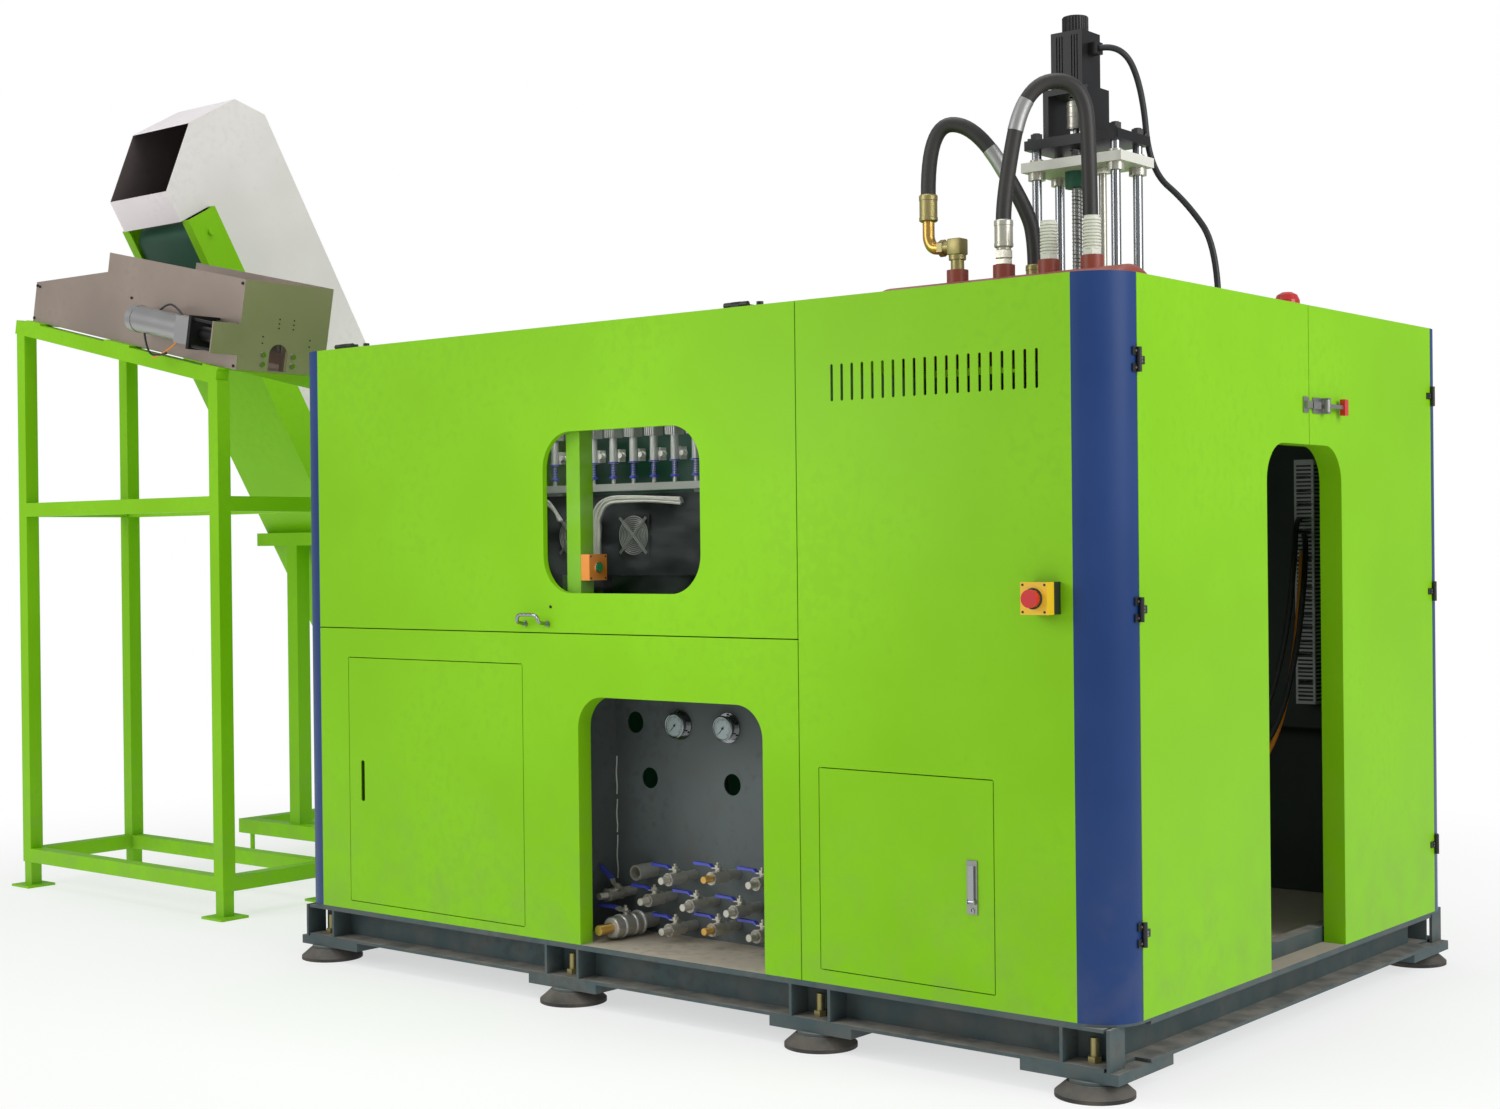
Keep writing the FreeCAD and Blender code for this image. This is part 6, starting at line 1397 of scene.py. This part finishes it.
    def _motor(self) -> None:
        """Give the servo motor its fins and knurled cap, and the bracket its screws."""
        x, y = self.screw
        half = self.motor_half
        fins = [spot(x + dx, y + dy, 2460.0) for offset in (-30.0, -22.0, -14.0, 14.0, 22.0, 30.0)
                for dx, dy in ((offset, -half), (-half, offset), (offset, half))]
        blocks("motor_fins", fins, (0.003, 0.003, 0.13), "black_oxide")
        teeth = [spot(x + 32.0 * math.cos(turn), y + 32.0 * math.sin(turn), 2558.0)
                 for turn in (math.tau * i / 28 for i in range(28))]
        studs("motor_cap_teeth", teeth, UP, 0.0022, 0.04, "black_plastic", sides=8)
        heads = [spot(-485.0 + dx, y + dy, 2264.0) for dx in (-128, 128) for dy in (-72, 72)]
        studs("bracket_screws", heads, UP, 0.006, 0.008, "black_oxide", sides=6)

    def _screw(self) -> None:
        """Wind the ball screw's thread and mark its coupling."""
        helix("screw_thread", [spot(*self.screw, 1704.0)], 0.0122, 0.56, 56.0, 0.0018, "steel",
              "screw_unit")
        mark = Shape().block((-540.6, 731.0, 2322.0), (-539.0, 741.0, 2342.0), 0.3)
        mark.finish("coupling_mark", "red_plastic", "screw_unit")
        collars = Shape()
        for foot in (2292.0, 2320.0, 2346.0):
            collars.lathe((*self.screw, foot), UP, chamfered(10.0, 1.0, 24.0, 24.8), 32)
        collars.finish("coupling_rings", "nickel", "screw_unit")


@dataclass
class Loader(Assembly):
    """The stand with the trough, its rollers and the geared motor, in the trough's frame."""

    face: float = 254.0
    end: float = 1226.0
    motor: tuple[float, float] = (198.0, 102.0)
    gearbox: tuple[float, float] = (1098.5, 1193.0)
    trough_end: float = 1221.5
    shaft: float = 8.0

    def build(self) -> None:
        """Dress the loader and add its screws, grille, loops and nuts."""
        dress("stand_frame", "lime_paint")
        dress("trough", "stainless")
        for node in ("sorting_roller_front", "sorting_roller_rear"):
            dress(node, "steel")
        back = SLOPE.inverted()
        dress("gear_motor", "aluminium", ("black_oxide", lambda c: self._on_gearbox(back @ c)),
              ("stainless", lambda c: (back @ c).x > self.trough_end),
              ("chrome", lambda c: (back @ c).x > self.gearbox[1]))
        self._screws()
        self._motor()

    def _on_gearbox(self, place: Vector) -> bool:
        """Tell whether a place is on the black gearbox but off its shaft."""
        away = math.hypot(place.y - self.motor[0], place.z - self.motor[1])
        return self.gearbox[0] < place.x < self.gearbox[1] and away > self.shaft

    def _screws(self) -> None:
        """Set the black screws and the polished nuts of the trough."""
        side = [(x, self.face, z) for x, z in (
            (8.0, 12.0), (8.0, 130.0), (1212.0, 12.0), (1212.0, 286.0), (1212.0, 150.0),
            (24.0, 128.0), (600.0, 160.0), (600.0, 60.0))]
        studs("trough_side_screws", on(SLOPE, *side), FRONT, 0.005, 0.005, "black_oxide", sides=12)
        outward = SLOPE.to_3x3() @ Vector(RIGHT)
        nuts = [(self.end + 1.0, 420.0 + dy, z) for dy in (-62.0, 62.0) for z in (26.0, 58.0)]
        studs("trough_end_nuts", on(SLOPE, *nuts), outward, 0.009, 0.009, "chrome", sides=20)
        small = [(self.end, y, z) for y in (350.0, 545.0) for z in (96.0, 118.0)]
        small += [(self.end, y, z) for y in (410.0, 470.0) for z in (150.0, 165.0, 180.0)]
        studs("trough_end_screws", on(SLOPE, *small), outward, 0.0025, 0.002, "black_oxide",
              sides=8)

    def _motor(self) -> None:
        """Give the geared motor its grille, flange screws and wire loops."""
        axis = SLOPE.to_3x3() @ Vector((-1.0, 0.0, 0.0))
        y, z = self.motor
        rings("motor_grille", on(SLOPE, (721.6, y, z))[0], axis, 5, 0.007, 0.0065, 0.0, 0.0011,
              "black_oxide")
        flange = [(1118.0, y + dy, z + dz) for dy in (-44.0, 44.0) for dz in (-44.0, 44.0)]
        studs("motor_flange_screws", on(SLOPE, *flange), -axis, 0.005, 0.02, "black_oxide",
              sides=6)
        below = on(SLOPE, (800.0, 184.0, 60.0), (830.0, 176.0, 18.0), (880.0, 172.0, -14.0),
                   (950.0, 176.0, 12.0), (990.0, 184.0, 58.0))
        tube("motor_wire_black", below[:4], 0.0035, "cable")
        tube("motor_wire_orange", below[2:], 0.0028, "orange_plastic")
        above = on(SLOPE, (850.0, 200.0, 145.0), (880.0, 200.0, 168.0), (930.0, 200.0, 176.0),
                   (985.0, 200.0, 145.0))
        tube("motor_wire_top", above, 0.0035, "cable")


@dataclass
class Elevator(Assembly):
    """The belt elevator with its hopper and hood; the hood's sizes are in the belt's frame."""

    middle: float = -4290.0
    half: float = 173.0
    rear: float = 538.0
    front: float = -10.0
    top: float = 321.0
    chamfer: float = 761.0

    def build(self) -> None:
        """Dress the elevator."""
        dress("elevator_frame", "lime_paint")
        dress("elevator_belt", "belt")
        # Inward faces of the hood get the darker copy of its stainless: painted shade.
        dress("hood", "pale_stainless", ("hood_painted_shade", self._is_inside))

    def _is_inside(self, centre: Vector) -> bool:
        """Tell whether a face of the hood's sheet looks inwards.

        Args:
            centre: The face's centre in machine millimetres.

        Returns:
            Whether it lies on an inner plane of the sheet.
        """
        place = RAMP.inverted() @ centre
        away = (abs(place.x - self.middle) - self.half, place.y - self.rear,
                place.z - self.top, place.y - self.front)
        return (any(abs(part) < 0.5 for part in away) or
                abs(place.y + place.z - self.chamfer) < 0.7)


def main() -> None:
    """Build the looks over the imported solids."""
    logging.basicConfig(level=logging.INFO, format="%(message)s")
    studio = Studio()
    studio.camera()
    studio.lights()
    studio.floor()
    for kind in (TopUnit, Cabinet, Niche, Controls, Oven, Loader, Elevator):
        LOG.info("sub-assembly %s", kind.__name__)
        kind().build()


if __name__ == "__main__":
    main()
